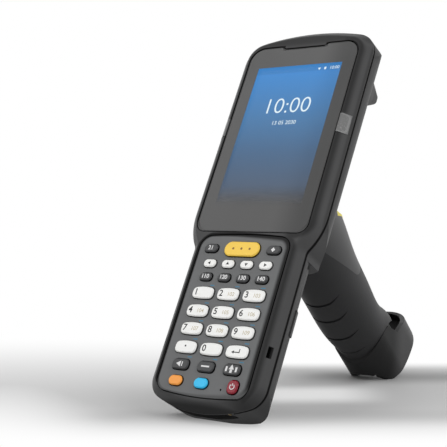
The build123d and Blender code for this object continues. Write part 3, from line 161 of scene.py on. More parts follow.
# painted shade on the glass's printed border: towards the right and along its edge
GLASS_RIGHT = (0.010, 0.0275)
GLASS_DEEP = 0.42
GLASS_RIM = (-0.0007, -0.0002)
GLASS_RIM_END = (0.0885, 0.092, 0.4, 1.0)

CASE_ROUGHNESS = 0.46
CASE_GLOSS = 0.10
CLOUD_SCALE = 55.0

# lamps: name, place, width in metres and watts; all look at a point above the floor
LAMPS = (
    ("key_lamp", (-0.50, -0.80, 0.90), 0.9, 4.9),
    ("side_lamp", (0.46, -0.16, 0.42), 0.30, 0.85),
    ("rim_lamp", (0.55, 0.75, 0.70), 0.7, 4.0),
)
LAMP_TARGET = Vector((0, 0, 0.08))

# the floor's bands, by distance from the set viewpoint and sideways from its line of sight, in metres
NEAR_SIDES = (-0.115, -0.045)
NEAR_REACH = (0.190, 0.075)
FAR_SIDES = (-0.03, 0.03)
FAR_START = (0.235, 0.125)
FAR_END = (0.03, 0.090)
# a painted patch of light on the floor
PATCH_MIDDLE = 0.545
PATCH_REACH = (0.006, 0.032, 1.0, 0.0)
PATCH_LEFT = (0.0, 0.03)
PATCH_RIGHT = (0.055, 0.09, 0.5, 0.0)
WHITE_ASIDE = (0.20, 0.42)
# streaks of painted shadow on the floor
STREAKS = ((0.598, 0.030, 0.025, 0.07, 0.58), (0.484, 0.026, -0.10, -0.03, 0.32))
STREAK_TONE = 0.3


# -------------------- settings


def colour(name, description, default):
    """A colour setting shown as a swatch."""
    return FloatVectorProperty(
        name=name, description=description, subtype="COLOR", size=3, min=0.0, max=1.0, default=default
    )


def length(name, description, default):
    """A length setting in metres."""
    return FloatProperty(name=name, description=description, default=default, min=0.0, unit="LENGTH")


class TerminalFinishes(PropertyGroup):
    """Colours of the mouldings, keys and rubber."""

    case: colour("Case", "Moulded case halves, battery and heel", (0.069, 0.069, 0.070))
    bezel: colour("Bezel", "Keypad plate", (0.162, 0.165, 0.167))
    rubber: colour("Rubber", "Grip sleeve", (0.022, 0.022, 0.023))
    collar: colour("Collar", "Hard collar of the grip", (0.037, 0.037, 0.038))
    # the dark tone of the painted shade on the case halves, heel and keypad plate, not only in the joints
    shadow_line: colour("Shadow line", "Depth of the joint round glass and keypad", (0.0015, 0.0015, 0.0015))
    key_white: colour("White keys", "Digit and arrow keys", (0.97, 0.97, 0.95))
    key_dark: colour("Dark keys", "Function keys", (0.040, 0.041, 0.043))
    key_yellow: colour("Scan key", "Wide scan key", (1.0, 0.66, 0.085))
    key_orange: colour("Orange key", "First shift key", (1.0, 0.385, 0.065))
    key_blue: colour("Blue key", "Second shift key", (0.032, 0.57, 0.96))
    key_red: colour("Power key", "Power key", (0.26, 0.006, 0.020))
    trigger: colour("Trigger", "Trigger", (0.86, 0.74, 0.16))
    light_pipe: colour("Status light", "Light pipes at the sides", (0.060, 0.060, 0.060))
    letters: colour("Second marks", "Pale marks beside the digits", (0.62, 0.55, 0.40))
    blue_marks: colour("Blue marks", "Small marks on the keypad plate", (0.05, 0.20, 0.32))
    grain: length("Grain", "Spacing of the moulded grain", 0.0006)


class TerminalDisplay(PropertyGroup):
    """The lit picture and the glass over it."""

    sky: colour("Top", "Picture at the top", (0.050, 0.270, 0.68))
    haze: colour("Upper middle", "Picture at three quarters of its height", (0.066, 0.205, 0.425))
    dusk: colour("Middle", "Picture at the middle", (0.066, 0.143, 0.265))
    ground: colour("Bottom", "Picture at the bottom", (0.088, 0.099, 0.121))
    border: colour("Border", "Printed border of the glass", (0.070, 0.070, 0.070))
    half_width: length("Half width", "Half width of the lit area", 0.02426)
    bottom: length("Bottom edge", "Height of the lit area's lower edge", 0.0993)
    top: length("Top edge", "Height of the lit area's upper edge", 0.1802)
    clock_height: length("Clock", "Height of the clock's centre", 0.1571)
    clock_size: length("Clock size", "Letter size of the clock", 0.0125)


class TerminalStage(PropertyGroup):
    """Studio round the terminal."""

    floor: colour("Floor", "Pale floor", (0.62, 0.62, 0.62))
    band_near: length("Near edge", "Distance from the camera at which the grey floor begins", 0.432)
    band_far: length("Far edge", "Distance from the camera at which it has turned white", 0.745)
    lens: FloatProperty(name="Lens", description="Focal length in millimetres", default=86.99, min=1.0)
    yaw: FloatProperty(name="Yaw", description="Turn of the camera", subtype="ANGLE", default=radians(36.17))
    pitch: FloatProperty(
        name="Pitch", description="Fall of the camera", subtype="ANGLE", default=radians(1.324)
    )
    eye: FloatVectorProperty(
        name="Eye",
        description="Camera from the case's lower front edge",
        subtype="XYZ",
        unit="LENGTH",
        default=(0.286956, -0.370175, 0.092107),
    )


# -------------------- node helpers


def socket(group, name, kind, outwards=False, default=None):
    """Adds a named socket to a node group."""
    made = group.interface.new_socket(name=name, in_out="OUTPUT" if outwards else "INPUT", socket_type=kind)
    if default is not None:
        made.default_value = default


def put(tree, value, target):
    """Links a socket to an input, or writes a number into it."""
    if isinstance(value, bpy.types.NodeSocket):
        tree.links.new(value, target)
    else:
        target.default_value = value


def figure(tree, operation, *values):
    """A math node's result; each value is a number or a socket."""
    node = tree.nodes.new("ShaderNodeMath")
    node.operation = operation
    for target, value in zip(node.inputs, values):
        put(tree, value, target)
    return node.outputs[0]


def ramped(tree, value, start, end, low=0.0, high=1.0):
    """A value that eases from low to high as another goes from start to end."""
    node = tree.nodes.new("ShaderNodeMapRange")
    node.interpolation_type = "SMOOTHSTEP"
    given = {"Value": value, "From Min": start, "From Max": end, "To Min": low, "To Max": high}
    for name, number in given.items():
        put(tree, number, node.inputs[name])
    return node.outputs["Result"]


def mixed(tree, factor, first, second):
    """A colour between two colours."""
    node = tree.nodes.new("ShaderNodeMix")
    node.data_type = "RGBA"
    put(tree, factor, node.inputs["Factor"])
    put(tree, first, node.inputs["A"])
    put(tree, second, node.inputs["B"])
    return node.outputs["Result"]


def case_coordinates(tree):
    """Sockets with x, depth and u of the case frame, from Object coordinates."""
    place = tree.nodes.new("ShaderNodeTexCoord")
    turn = tree.nodes.new("ShaderNodeMapping")
    turn.vector_type = "TEXTURE"
    turn.inputs["Location"].default_value = CASE_ORIGIN
    turn.inputs["Rotation"].default_value = (-LEAN, 0.0, 0.0)
    tree.links.new(place.outputs["Object"], turn.inputs["Vector"])
    parts = tree.nodes.new("ShaderNodeSeparateXYZ")
    tree.links.new(turn.outputs["Vector"], parts.inputs["Vector"])
    return parts.outputs["X"], parts.outputs["Y"], parts.outputs["Z"]


def noise(tree, scale, detail=3.0):
    """A noise texture's value on Object coordinates."""
    place = tree.nodes.new("ShaderNodeTexCoord")
    node = tree.nodes.new("ShaderNodeTexNoise")
    node.inputs["Detail"].default_value = detail
    tree.links.new(place.outputs["Object"], node.inputs["Vector"])
    put(tree, scale, node.inputs["Scale"])
    return node.outputs["Fac"]


def new_material(name):
    """A new material, its node tree and its shader."""
    material = bpy.data.materials.new(name)
    material.use_nodes = True
    return material, material.node_tree, material.node_tree.nodes["Principled BSDF"]


def seen_directly(tree):
    """One for rays from the camera, off gloss and through glass, and zero for the rest."""
    path = tree.nodes.new("ShaderNodeLightPath").outputs
    return figure(tree, "MAXIMUM", path["Is Camera Ray"],
                  figure(tree, "MAXIMUM", path["Is Glossy Ray"], path["Is Transmission Ray"]))


# -------------------- shader groups


def moulded_surface():
    """Group: grain, cloudiness and rubbed patches of moulded plastic or rubber."""
    if "moulded_surface" in bpy.data.node_groups:
        return bpy.data.node_groups["moulded_surface"]
    group = bpy.data.node_groups.new("moulded_surface", "ShaderNodeTree")
    socket(group, "Colour", "NodeSocketColor")
    defaults = {"Roughness": 0.5, "Grain scale": 1600.0, "Grain depth": 0.00002, "Cloudiness": 0.12,
                "Rubbing": 0.10}
    for name, default in defaults.items():
        socket(group, name, "NodeSocketFloat", default=default)
    socket(group, "Colour", "NodeSocketColor", outwards=True)
    socket(group, "Roughness", "NodeSocketFloat", outwards=True)
    socket(group, "Normal", "NodeSocketVector", outwards=True)
    inside = group.nodes.new("NodeGroupInput")
    outside = group.nodes.new("NodeGroupOutput")
    grain = noise(group, inside.outputs["Grain scale"])
    cloud = figure(group, "SUBTRACT", noise(group, CLOUD_SCALE, 5.0), 0.5)
    # colour and roughness move a little with the clouds
    swing = figure(group, "MULTIPLY", inside.outputs["Cloudiness"], 2.0)
    level = figure(group, "MULTIPLY_ADD", cloud, swing, 1.0)
    tint = group.nodes.new("ShaderNodeVectorMath")
    tint.operation = "SCALE"
    group.links.new(inside.outputs["Colour"], tint.inputs[0])
    group.links.new(level, tint.inputs["Scale"])
    group.links.new(tint.outputs["Vector"], outside.inputs["Colour"])
    rubbed = figure(group, "MULTIPLY_ADD", cloud, inside.outputs["Rubbing"], inside.outputs["Roughness"])
    group.links.new(rubbed, outside.inputs["Roughness"])
    bump = group.nodes.new("ShaderNodeBump")
    group.links.new(grain, bump.inputs["Height"])
    group.links.new(inside.outputs["Grain depth"], bump.inputs["Distance"])
    group.links.new(bump.outputs["Normal"], outside.inputs["Normal"])
    return group


def edge_distance():
    """Group: distance from a round-cornered outline in the case frame, negative inside it."""
    if "edge_distance" in bpy.data.node_groups:
        return bpy.data.node_groups["edge_distance"]
    group = bpy.data.node_groups.new("edge_distance", "ShaderNodeTree")
    for name in ("Across", "Height", *EDGE_SOCKETS):
        socket(group, name, "NodeSocketFloat", default=0.0)
    socket(group, "Distance", "NodeSocketFloat", outwards=True)
    given = group.nodes.new("NodeGroupInput").outputs
    past = []
    ways = (("Across", "Middle across", "Half width"), ("Height", "Middle height", "Half height"))
    for place, middle, half in ways:
        away = figure(group, "ABSOLUTE", figure(group, "SUBTRACT", given[place], given[middle]))
        past.append(figure(group, "ADD", figure(group, "SUBTRACT", away, given[half]), given["Corner"]))
    out = [figure(group, "POWER", figure(group, "MAXIMUM", value, 0.0), 2.0) for value in past]
    round_part = figure(group, "SQRT", figure(group, "ADD", *out))
    flat_part = figure(group, "MINIMUM", figure(group, "MAXIMUM", *past), 0.0)
    reach = figure(group, "SUBTRACT", figure(group, "ADD", round_part, flat_part), given["Corner"])
    group.links.new(reach, group.nodes.new("NodeGroupOutput").inputs["Distance"])
    return group


def distance_to(tree, across, height, edge):
    """Distance from one of the openings' outlines."""
    node = tree.nodes.new("ShaderNodeGroup")
    node.node_tree = edge_distance()
    for name, value in zip(("Across", "Height", *EDGE_SOCKETS), (across, height, *edge)):
        put(tree, value, node.inputs[name])
    return node.outputs["Distance"]


def glass_distance(tree, across, height):
    """Distance from the glass's opening, which is notched by the tab at its top."""
    return figure(tree, "MAXIMUM", distance_to(tree, across, height, GLASS_EDGE),
                  figure(tree, "MULTIPLY", distance_to(tree, across, height, TAB_EDGE), -1.0))


def bowed_height(tree, across, height):
    """Height on the keypad plate with the bow of its ends taken out."""
    bow = ramped(tree, height, *PLATE_BOW)
    share = figure(tree, "POWER", figure(tree, "DIVIDE", figure(tree, "ABSOLUTE", across), PLATE_HALF), 2.0)
    return figure(tree, "MULTIPLY_ADD", bow, share, height)


def darkest(tree, first, *others):
    """The largest of several shades."""
    for other in others:
        first = figure(tree, "MAXIMUM", first, other)
    return first


def seam_shade(tree, depth):
    """Painted shade along the seam between the case halves."""
    off = figure(tree, "ABSOLUTE", figure(tree, "SUBTRACT", depth, SEAM_DEPTH))
    return ramped(tree, off, *SEAM_LINE)


def side_shade(tree, across):
    """A light painted shade on the head's upright sides."""
    return ramped(tree, figure(tree, "ABSOLUTE", across), *HEAD_SIDES)


def front_painted_shade(tree):
    """Painted shade on the front housing: joints round glass and keypad, seam, ends, sides and catch recess."""
    across, depth, height = case_coordinates(tree)
    glass = glass_distance(tree, across, height)
    keypad = distance_to(tree, across, bowed_height(tree, across, height), BEZEL_EDGE)
    # painted shade in the joints round glass and keypad, wider on the left and narrower at their lower ends
    shades = []
    for distance, widths, end in ((glass, GLASS_JOINT, GLASS_JOINT_END), (keypad, KEYPAD_JOINT, KEYPAD_JOINT_END)):
        fade = ramped(tree, height, *end)
        reach = figure(tree, "MULTIPLY", ramped(tree, across, *JOINT_SIDES, *widths), fade)
        inner = figure(tree, "MULTIPLY", reach, JOINT_CORE)
        shades.append(ramped(tree, distance, inner, reach, 1.0, 0.0))
    # painted shade on the inner slope right of the openings, which turns away from the light
    slope = figure(tree, "MULTIPLY", ramped(tree, across, *RIGHT_SLOPE), RIGHT_SLOPE_SHADE)
    near_rim = ramped(tree, figure(tree, "MINIMUM", glass, keypad), *NEAR_RIM)
    # painted shade also on the top bumper, the rounded lower end and its right corner, which turn away from the
    # light as well
    corner = figure(tree, "MULTIPLY", ramped(tree, height, *LOWER_CORNER), ramped(tree, across, *LOWER_CORNER_SIDE))
    # painted shade in the catch recess
    off = figure(tree, "ABSOLUTE", figure(tree, "SUBTRACT", height, CATCH_HEIGHT))
    catch = figure(tree, "MULTIPLY", ramped(tree, off, *CATCH_REACH), ramped(tree, depth, *CATCH_NEAR))
    catch = figure(tree, "MULTIPLY", catch, ramped(tree, depth, *CATCH_FAR))
    return darkest(tree, *shades, figure(tree, "MULTIPLY", slope, near_rim), corner, catch, seam_shade(tree, depth),
                   side_shade(tree, across), ramped(tree, height, *TOP_BUMPER), ramped(tree, height, *LOWER_END))


def shaded(material, shade, tone, dark):
    """Lets a moulding's colour fall away to a dark tone where painted shade lies on it."""
    tree = material.node_tree
    tree.links.new(mixed(tree, shade, (*tone, 1.0), (*dark, 1.0)), tree.nodes["surface"].inputs["Colour"])
    return material


def moulding(name, tone, roughness, scale=1600.0, depth=0.00002, cloudiness=0.12, rubbing=0.10, gloss=0.35):
    """Material of a moulded or rubber piece; its grain comes from the shared group."""
    material, tree, shader = new_material(name)
    surface = tree.nodes.new("ShaderNodeGroup")
    surface.node_tree = moulded_surface()
    surface.name = "surface"
    values = {"Colour": (*tone, 1.0), "Roughness": roughness, "Grain scale": scale, "Grain depth": depth,
              "Cloudiness": cloudiness, "Rubbing": rubbing}
    for given, value in values.items():
        surface.inputs[given].default_value = value
    for given, taken in (("Colour", "Base Color"), ("Roughness", "Roughness"), ("Normal", "Normal")):
        tree.links.new(surface.outputs[given], shader.inputs[taken])
    shader.inputs["Specular IOR Level"].default_value = gloss
    return material


def metal(name, tone, roughness):
    """Material of a plain metal part with a fine directionless finish."""
    material = moulding(
        name, tone, roughness, scale=2400.0, depth=0.000006, cloudiness=0.05, rubbing=0.2, gloss=0.5
    )
    material.node_tree.nodes["Principled BSDF"].inputs["Metallic"].default_value = 1.0
    return material


def front_moulding(tones, grain):
    """Case moulding with painted shade in the joints round the glass and the keypad, on its seam, ends and sides and
    in its catch recess.
    """
    material = moulding("front_moulding", tones.case, CASE_ROUGHNESS, grain, gloss=CASE_GLOSS)
    return shaded(material, front_painted_shade(material.node_tree), tones.case, tones.shadow_line)


def rear_moulding(tones, grain):
    """Rear half, with painted shade at its foot, head, sides and sloping top, on the guard ridge and along the seam.
    """
    material = moulding("rear_moulding", tones.case, CASE_ROUGHNESS, grain, gloss=CASE_GLOSS)
    tree = material.node_tree
    across, depth, height = case_coordinates(tree)
    shade = darkest(tree, seam_shade(tree, depth), ramped(tree, height, *REAR_FOOT), ramped(tree, height, *REAR_TOP),
                    ramped(tree, depth, *GUARD_RIDGE), side_shade(tree, across), ramped(tree, height, *REAR_HEAD))
    return shaded(material, shade, tones.case, tones.shadow_line)


def heel_moulding(tones, grain):
    """Heel of the grip, with painted shade inside its scoop and on its part towards the case."""
    material = moulding("heel_moulding", tones.case, CASE_ROUGHNESS, grain, gloss=CASE_GLOSS)
    tree = material.node_tree
    place = tree.nodes.new("ShaderNodeTexCoord")
    from_scoop = tree.nodes.new("ShaderNodeVectorMath")
    from_scoop.operation = "DISTANCE"
    tree.links.new(place.outputs["Object"], from_scoop.inputs[0])
    from_scoop.inputs[1].default_value = SCOOP
    parts = tree.nodes.new("ShaderNodeSeparateXYZ")
    tree.links.new(place.outputs["Object"], parts.inputs["Vector"])
    shade = figure(tree, "MAXIMUM", ramped(tree, from_scoop.outputs["Value"], *SCOOP_SHADE),
                   ramped(tree, parts.outputs["Y"], *HEEL_FRONT))
    return shaded(material, shade, tones.case, tones.shadow_line)


def bezel_moulding(tones, grain):
    """Keypad plate, with painted shade on its rounded rim where it dips into the joint."""
    material = moulding("bezel_moulding", tones.bezel, 0.44, grain, 0.000012, gloss=0.12)
    tree = material.node_tree
    across, _, height = case_coordinates(tree)
    distance = distance_to(tree, across, bowed_height(tree, across, height), BEZEL_EDGE)
    width = ramped(tree, across, *PLATE_RIM)
    shade = ramped(tree, distance, width, figure(tree, "MULTIPLY", width, PLATE_RIM_EDGE))
    rim = figure(tree, "MULTIPLY", shade, ramped(tree, height, *PLATE_RIM_END))
    # and painted shade close round the keys, whose wells hold little light
    wells = tree.nodes.new("ShaderNodeAmbientOcclusion")
    wells.inputs["Distance"].default_value = WELL_REACH
    near_keys = figure(tree, "MULTIPLY", ramped(tree, wells.outputs["AO"], *WELL_OPEN), WELL_SHADE)
    return shaded(material, figure(tree, "MAXIMUM", rim, near_keys), tones.bezel, tones.shadow_line)


def cap_moulding(name, tone, roughness, cloudiness, gloss=0.30):
    """Key cap with painted shade on its foot, down in its well."""
    material = moulding(name, tone, roughness, 2200.0, 0.000006, cloudiness, 0.08, gloss)
    tree = material.node_tree
    _, depth, _ = case_coordinates(tree)
    foot = ramped(tree, depth, *CAP_FOOT)
    return shaded(material, foot, tone, tuple(CAP_FOOT_TONE * part for part in tone))


def pipe_material(tones):
    """Frosted light pipe: speckled, with a painted highlight along its rim and a rounded outer corner."""
    material = moulding("light_pipe", tones.light_pipe, 0.30, 1800.0, 0.00001, gloss=0.5)
    tree = material.node_tree
    across, _, height = case_coordinates(tree)
    away = figure(tree, "ABSOLUTE", across)
    distance = distance_to(tree, away, height, PIPE_EDGE)
    place = tree.nodes.new("ShaderNodeTexCoord")
    specks = tree.nodes.new("ShaderNodeTexVoronoi")
    specks.inputs["Scale"].default_value = PIPE_SPECKS
    tree.links.new(place.outputs["Object"], specks.inputs["Vector"])
    low = ramped(tree, height, *SPECK_HEIGHTS)
    speck = figure(tree, "MULTIPLY", ramped(tree, specks.outputs["Distance"], *SPECK_SPREAD), low)
    pale = tuple(min(1.0, PIPE_PALE * part) for part in tones.light_pipe)
    tint = mixed(tree, speck, (*tones.light_pipe, 1.0), (*pale, 1.0))
    # painted highlight along the rim
    rim = figure(tree, "MULTIPLY", ramped(tree, distance, *PIPE_RIM), PIPE_RIM_SHARE)
    tint = mixed(tree, rim, tint, (*pale, 1.0))
    # beyond its outline and on the left pipe it takes the case's colour
    beyond = ramped(tree, distance, *PIPE_OUTSIDE)
    case_coloured = figure(tree, "MAXIMUM", beyond, ramped(tree, across, *PIPE_LEFT))
    tint = mixed(tree, case_coloured, tint, (*tones.case, 1.0))
    tree.links.new(tint, tree.nodes["surface"].inputs["Colour"])
    return material


def picture_material(display):
    """Lit picture: a sky that fades downwards, laid on the display module."""
    material, tree, shader = new_material("display_picture")
    across, _, height = case_coordinates(tree)
    above = figure(tree, "SUBTRACT", height, display.bottom)
    along = figure(tree, "DIVIDE", above, display.top - display.bottom)
    ramp = tree.nodes.new("ShaderNodeValToRGB")
    ramp.color_ramp.interpolation = "LINEAR"
    ramp.color_ramp.elements[0].color = (*display.ground, 1.0)
    ramp.color_ramp.elements[1].color = (*display.sky, 1.0)
    for stop, tone in zip(PICTURE_STOPS, (display.dusk, display.haze)):
        ramp.color_ramp.elements.new(stop).color = (*tone, 1.0)
    tree.links.new(along, ramp.inputs["Fac"])
    # the picture dims a little to the right, and its status strip is darker
    side = ramped(tree, across, *PICTURE_RIGHT)
    strip = ramped(tree, height, *STATUS_STRIP)
    dim = tree.nodes.new("ShaderNodeVectorMath")
    dim.operation = "SCALE"
    tree.links.new(ramp.outputs["Color"], dim.inputs[0])
    tree.links.new(figure(tree, "MULTIPLY", side, strip), dim.inputs["Scale"])
    tree.links.new(dim.outputs["Vector"], shader.inputs["Emission Color"])
    shader.inputs["Emission Strength"].default_value = 1.0
    shader.inputs["Base Color"].default_value = (0.01, 0.01, 0.012, 1.0)
    shader.inputs["Roughness"].default_value = 0.4
    shader.inputs["Specular IOR Level"].default_value = 0.1
    return material


def glass_material(display):
    """Cover glass: clear over the picture and printed dark round it, with painted shade on the print's right side
    and near black along its edge.
    """
    material, tree, shader = new_material("cover_glass")
    across, depth, height = case_coordinates(tree)
    aside = figure(tree, "ABSOLUTE", across)
    beyond = ramped(tree, aside, display.half_width, display.half_width + LIT_EDGE)
    over = ramped(tree, height, display.top, display.top + LIT_EDGE)
    under = ramped(tree, height, *(display.bottom + rise for rise in PRINT_FADE), 1.0, 0.0)
    border = figure(tree, "MAXIMUM", beyond, figure(tree, "MAXIMUM", over, under))
    # only the front face carries print and gloss, the back face lies on the picture
    front = ramped(tree, depth, *GLASS_FRONT)
    cover = figure(tree, "MULTIPLY_ADD", border, 0.92, 0.08)
    tree.links.new(figure(tree, "MULTIPLY", cover, front), shader.inputs["Alpha"])
    tree.links.new(ramped(tree, noise(tree, GLASS_CLOUDS), *GLASS_ROUGHNESS), shader.inputs["Roughness"])
    # painted shade: the printed border darkens towards the right
    right = ramped(tree, across, *GLASS_RIGHT)
    painted_shade_tone = tuple(GLASS_DEEP * part for part in display.border)
    tint = mixed(tree, right, (*display.border, 1.0), (*painted_shade_tone, 1.0))
    # painted shade, near black, along the glass's edge, weaker at its lower end
    edge = ramped(tree, glass_distance(tree, across, height), *GLASS_RIM)
    fade = ramped(tree, height, *GLASS_RIM_END)
    tint = mixed(tree, figure(tree, "MULTIPLY", edge, fade), tint, (0.001, 0.001, 0.001, 1.0))
    tree.links.new(tint, shader.inputs["Base Color"])
    shader.inputs["Specular IOR Level"].default_value = 0.22
    return material


def lit_material(name, tone):
    """Lit letters with a faint unevenness of their backlight."""
    material, tree, shader = new_material(name)
    shader.inputs["Base Color"].default_value = (0.02, 0.02, 0.02, 1.0)
    dimmed = tuple(0.86 * part for part in tone)
    tint = mixed(tree, noise(tree, 90.0), (*tone, 1.0), (*dimmed, 1.0))
    tree.links.new(tint, shader.inputs["Emission Color"])
    shader.inputs["Emission Strength"].default_value = 1.0
    return material


# -------------------- pieces


def dress(material, *names):
    """Gives CAD nodes their finish."""
    for name in names:
        node = frame["nodes"][name]
        if not node.material_slots:
            node.data.materials.append(material)
        for place in node.material_slots:
            place.material = material


def piece(name, mesh_builder, material, body):
    """A new piece from a bmesh in the case frame; its place goes into its mesh."""
    shape = bmesh.new()
    mesh_builder(shape)
    shape.transform(CASE)
    bmesh.ops.recalc_face_normals(shape, faces=shape.faces)
    mesh = bpy.data.meshes.new(name)
    shape.to_mesh(mesh)
    shape.free()
    mesh.materials.append(material)
    made = bpy.data.objects.new(name, mesh)
    bpy.context.scene.collection.objects.link(made)
    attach(made, body)


def add_text(shape, text, size, x, height, depth, shear=0.0, weight=0.0, wide=1.0):
    """Adds numerals as thin solids, centred at a place in the case frame."""
    curve = bpy.data.curves.new("numeral", "FONT")
    curve.body, curve.size, curve.shear, curve.offset = text, size, shear, weight
    curve.align_x, curve.align_y = "CENTER", "CENTER"
    curve.extrude = PRINT_THICK / 2
    holder = bpy.data.objects.new("numeral", curve)
    bpy.context.scene.collection.objects.link(holder)
    bpy.context.view_layer.update()
    mesh = bpy.data.meshes.new_from_object(holder.evaluated_get(bpy.context.evaluated_depsgraph_get()))
    place = Matrix.Translation((x, height, depth + PRINT_THICK / 2))
    mesh.transform(place @ Matrix.Diagonal((wide, 1.0, 1.0, 1.0)))
    shape.from_mesh(mesh)
    bpy.data.objects.remove(holder)
    bpy.data.curves.remove(curve)
    bpy.data.meshes.remove(mesh)
    bmesh.ops.remove_doubles(shape, verts=shape.verts, dist=1e-7)


def add_bar(shape, x, height, wide, tall, depth):
    """Adds a flat printed bar."""
    place = Matrix.Translation((x, height, depth + PRINT_THICK / 2))
    bmesh.ops.create_cube(shape, size=1.0, matrix=place @ Matrix.Diagonal((wide, tall, PRINT_THICK, 1.0)))


def add_wedge(shape, x, height, radius, depth, turn, corners=3):
    """Adds a flat printed triangle or diamond that points along a turn."""
    place = Matrix.Translation((x, height, depth + PRINT_THICK / 2)) @ Matrix.Rotation(turn, 4, "Z")
    bmesh.ops.create_cone(
        shape, cap_ends=True, segments=corners, radius1=radius, radius2=radius, depth=PRINT_THICK, matrix=place
    )


def add_ring(shape, x, height, radius, thick, depth, sweep=2 * pi, turn=0.0):
    """Adds a flat printed ring, or a part of one."""
    low, high = depth, depth + PRINT_THICK
    inner, outer = radius - thick / 2, radius + thick / 2
    start = Matrix.Translation((x, height, 0.0)) @ Matrix.Rotation(turn, 4, "Z")
    corners = [shape.verts.new(start @ Vector(c)) for c in
               ((inner, 0, low), (outer, 0, low), (outer, 0, high), (inner, 0, high))]
    face = shape.faces.new(corners)
    full = sweep > 2 * pi - 0.01
    bmesh.ops.spin(
        shape, geom=[face, *face.edges, *corners], cent=(x, height, 0.0), axis=(0, 0, 1),
        angle=sweep, steps=28, use_merge=full, use_duplicate=False,
    )


# -------------------- operators


class TERMINAL_OT_mouldings(Operator):
    """Finishes the case, battery, bezel and what shows of the inner parts"""

    bl_idname = "terminal.mouldings"
    bl_label = "Finish mouldings"

    def execute(self, context):
        """Gives every CAD node of the case its material."""
        tones = context.scene.terminal_finishes
        grain = 1.0 / tones.grain
        dress(front_moulding(tones, grain), "front_housing")
        dress(rear_moulding(tones, grain), "rear_housing", "battery_pack")
        dress(heel_moulding(tones, grain), "handle_base")
        dress(moulding("latch_moulding", tones.case, 0.55, grain), "battery_latch_left", "battery_latch_right")
        dress(bezel_moulding(tones, grain), "keypad_bezel")
        dress(moulding("seal_rubber", (0.004, 0.004, 0.004), 0.75, gloss=0.1), "housing_gasket", "keypad_mat")
        dress(pipe_material(tones), "light_pipe_left", "light_pipe_right")
        dress(moulding("connector_moulding", (0.02, 0.02, 0.02), 0.5), "dock_connector", "trigger_switch",
              "scan_engine", "speaker")
        dress(moulding("solder_mask", (0.02, 0.13, 0.06), 0.35), "main_board", "keypad_board")
        dress(moulding("cell_film", (0.12, 0.22, 0.45), 0.3), "battery_cells")
        dress(moulding("scan_window", (0.09, 0.004, 0.008), 0.08, grain, 0.0), "exit_window")
        dress(metal("cast_frame", (0.55, 0.55, 0.57), 0.45), "chassis_frame")
        dress(metal("contact_plating", (0.86, 0.62, 0.26), 0.22), "dock_contacts", "battery_contacts")
        dress(metal("fastener_steel", (0.42, 0.42, 0.44), 0.32), "screws", "trigger_pin", "trigger_spring")
        return {"FINISHED"}


class TERMINAL_OT_grip(Operator):
    """Finishes the grip's collar, rubber sleeve and trigger"""

    bl_idname = "terminal.grip"
    bl_label = "Finish grip"

    def execute(self, context):
        """Rubber has a coarser and deeper grain than the hard collar."""
        tones = context.scene.terminal_finishes
        grain = 1.0 / tones.grain
        dress(moulding("collar_moulding", tones.collar, 0.48, grain), "handle_shell_left", "handle_shell_right")
        rubber = moulding("sleeve_rubber", tones.rubber, 0.56, grain / 1.6, 0.00004, 0.16, 0.14, 0.24)
        dress(rubber, "grip_sleeve")
        dress(moulding("trigger_moulding", tones.trigger, 0.38, grain, 0.00001, 0.04), "trigger")
        return {"FINISHED"}


class TERMINAL_OT_keys(Operator):
    """Finishes the key caps"""

    bl_idname = "terminal.keys"
    bl_label = "Finish keys"

    def execute(self, context):
        """Caps are smoother than the mouldings round them."""
        tones = context.scene.terminal_finishes
        caps = {
            "white": cap_moulding("white_cap", tones.key_white, 0.34, 0.02),
            "dark": cap_moulding("dark_cap", tones.key_dark, 0.36, 0.10),
            "yellow": cap_moulding("scan_cap", tones.key_yellow, 0.36, 0.04),
            "orange": cap_moulding("orange_cap", tones.key_orange, 0.34, 0.04),
            "blue": cap_moulding("blue_cap", tones.key_blue, 0.34, 0.04),
            "red": cap_moulding("power_cap", tones.key_red, 0.22, 0.05, 0.25),
        }
        named = {"key_scan": "yellow", "key_orange": "orange", "key_blue": "blue", "key_power": "red"}
        white = {"key_" + name for name in (*"0123456789", "dot", "enter", "left", "up", "down", "right")}
        for name in frame["nodes"]:
            if name.startswith("key_"):
                dress(caps[named.get(name, "white" if name in white else "dark")], name)
        return {"FINISHED"}


class TERMINAL_OT_display(Operator):
    """Lights the display and covers it with glass"""

    bl_idname = "terminal.display"
    bl_label = "Light display"

    def execute(self, context):
        """The clock is drawn on the picture, under the cover glass."""
        display = context.scene.terminal_display
        dress(picture_material(display), "lcd_module")
        dress(glass_material(display), "display_glass")
        lit = lit_material("clock_light", (0.78, 0.93, 1.0))

        def clock(shape):
            """Large thin numerals."""
            add_text(shape, "10:00", display.clock_size, -1.0 * MM, display.clock_height, -PICTURE_DEPTH,
                     weight=-0.00014)

        def marks(shape):
            """Small plain marks of a status line and of a date line."""
            line = display.top - 2.0 * MM
            add_text(shape, "10:00", 2.5 * MM, display.half_width - 4.3 * MM, line, -PICTURE_DEPTH)
            add_bar(shape, display.half_width - 9.5 * MM, line, 1.1 * MM, 1.4 * MM, -PICTURE_DEPTH)
            add_wedge(shape, display.half_width - 12.8 * MM, line, 0.95 * MM, -PICTURE_DEPTH, pi)
            add_text(shape, "13 05 2030", 3.1 * MM, 0.0, display.clock_height - 9.5 * MM, -PICTURE_DEPTH)

        piece("clock_numerals", clock, lit, TERMINAL)
        piece("status_marks", marks, lit, TERMINAL)
        return {"FINISHED"}


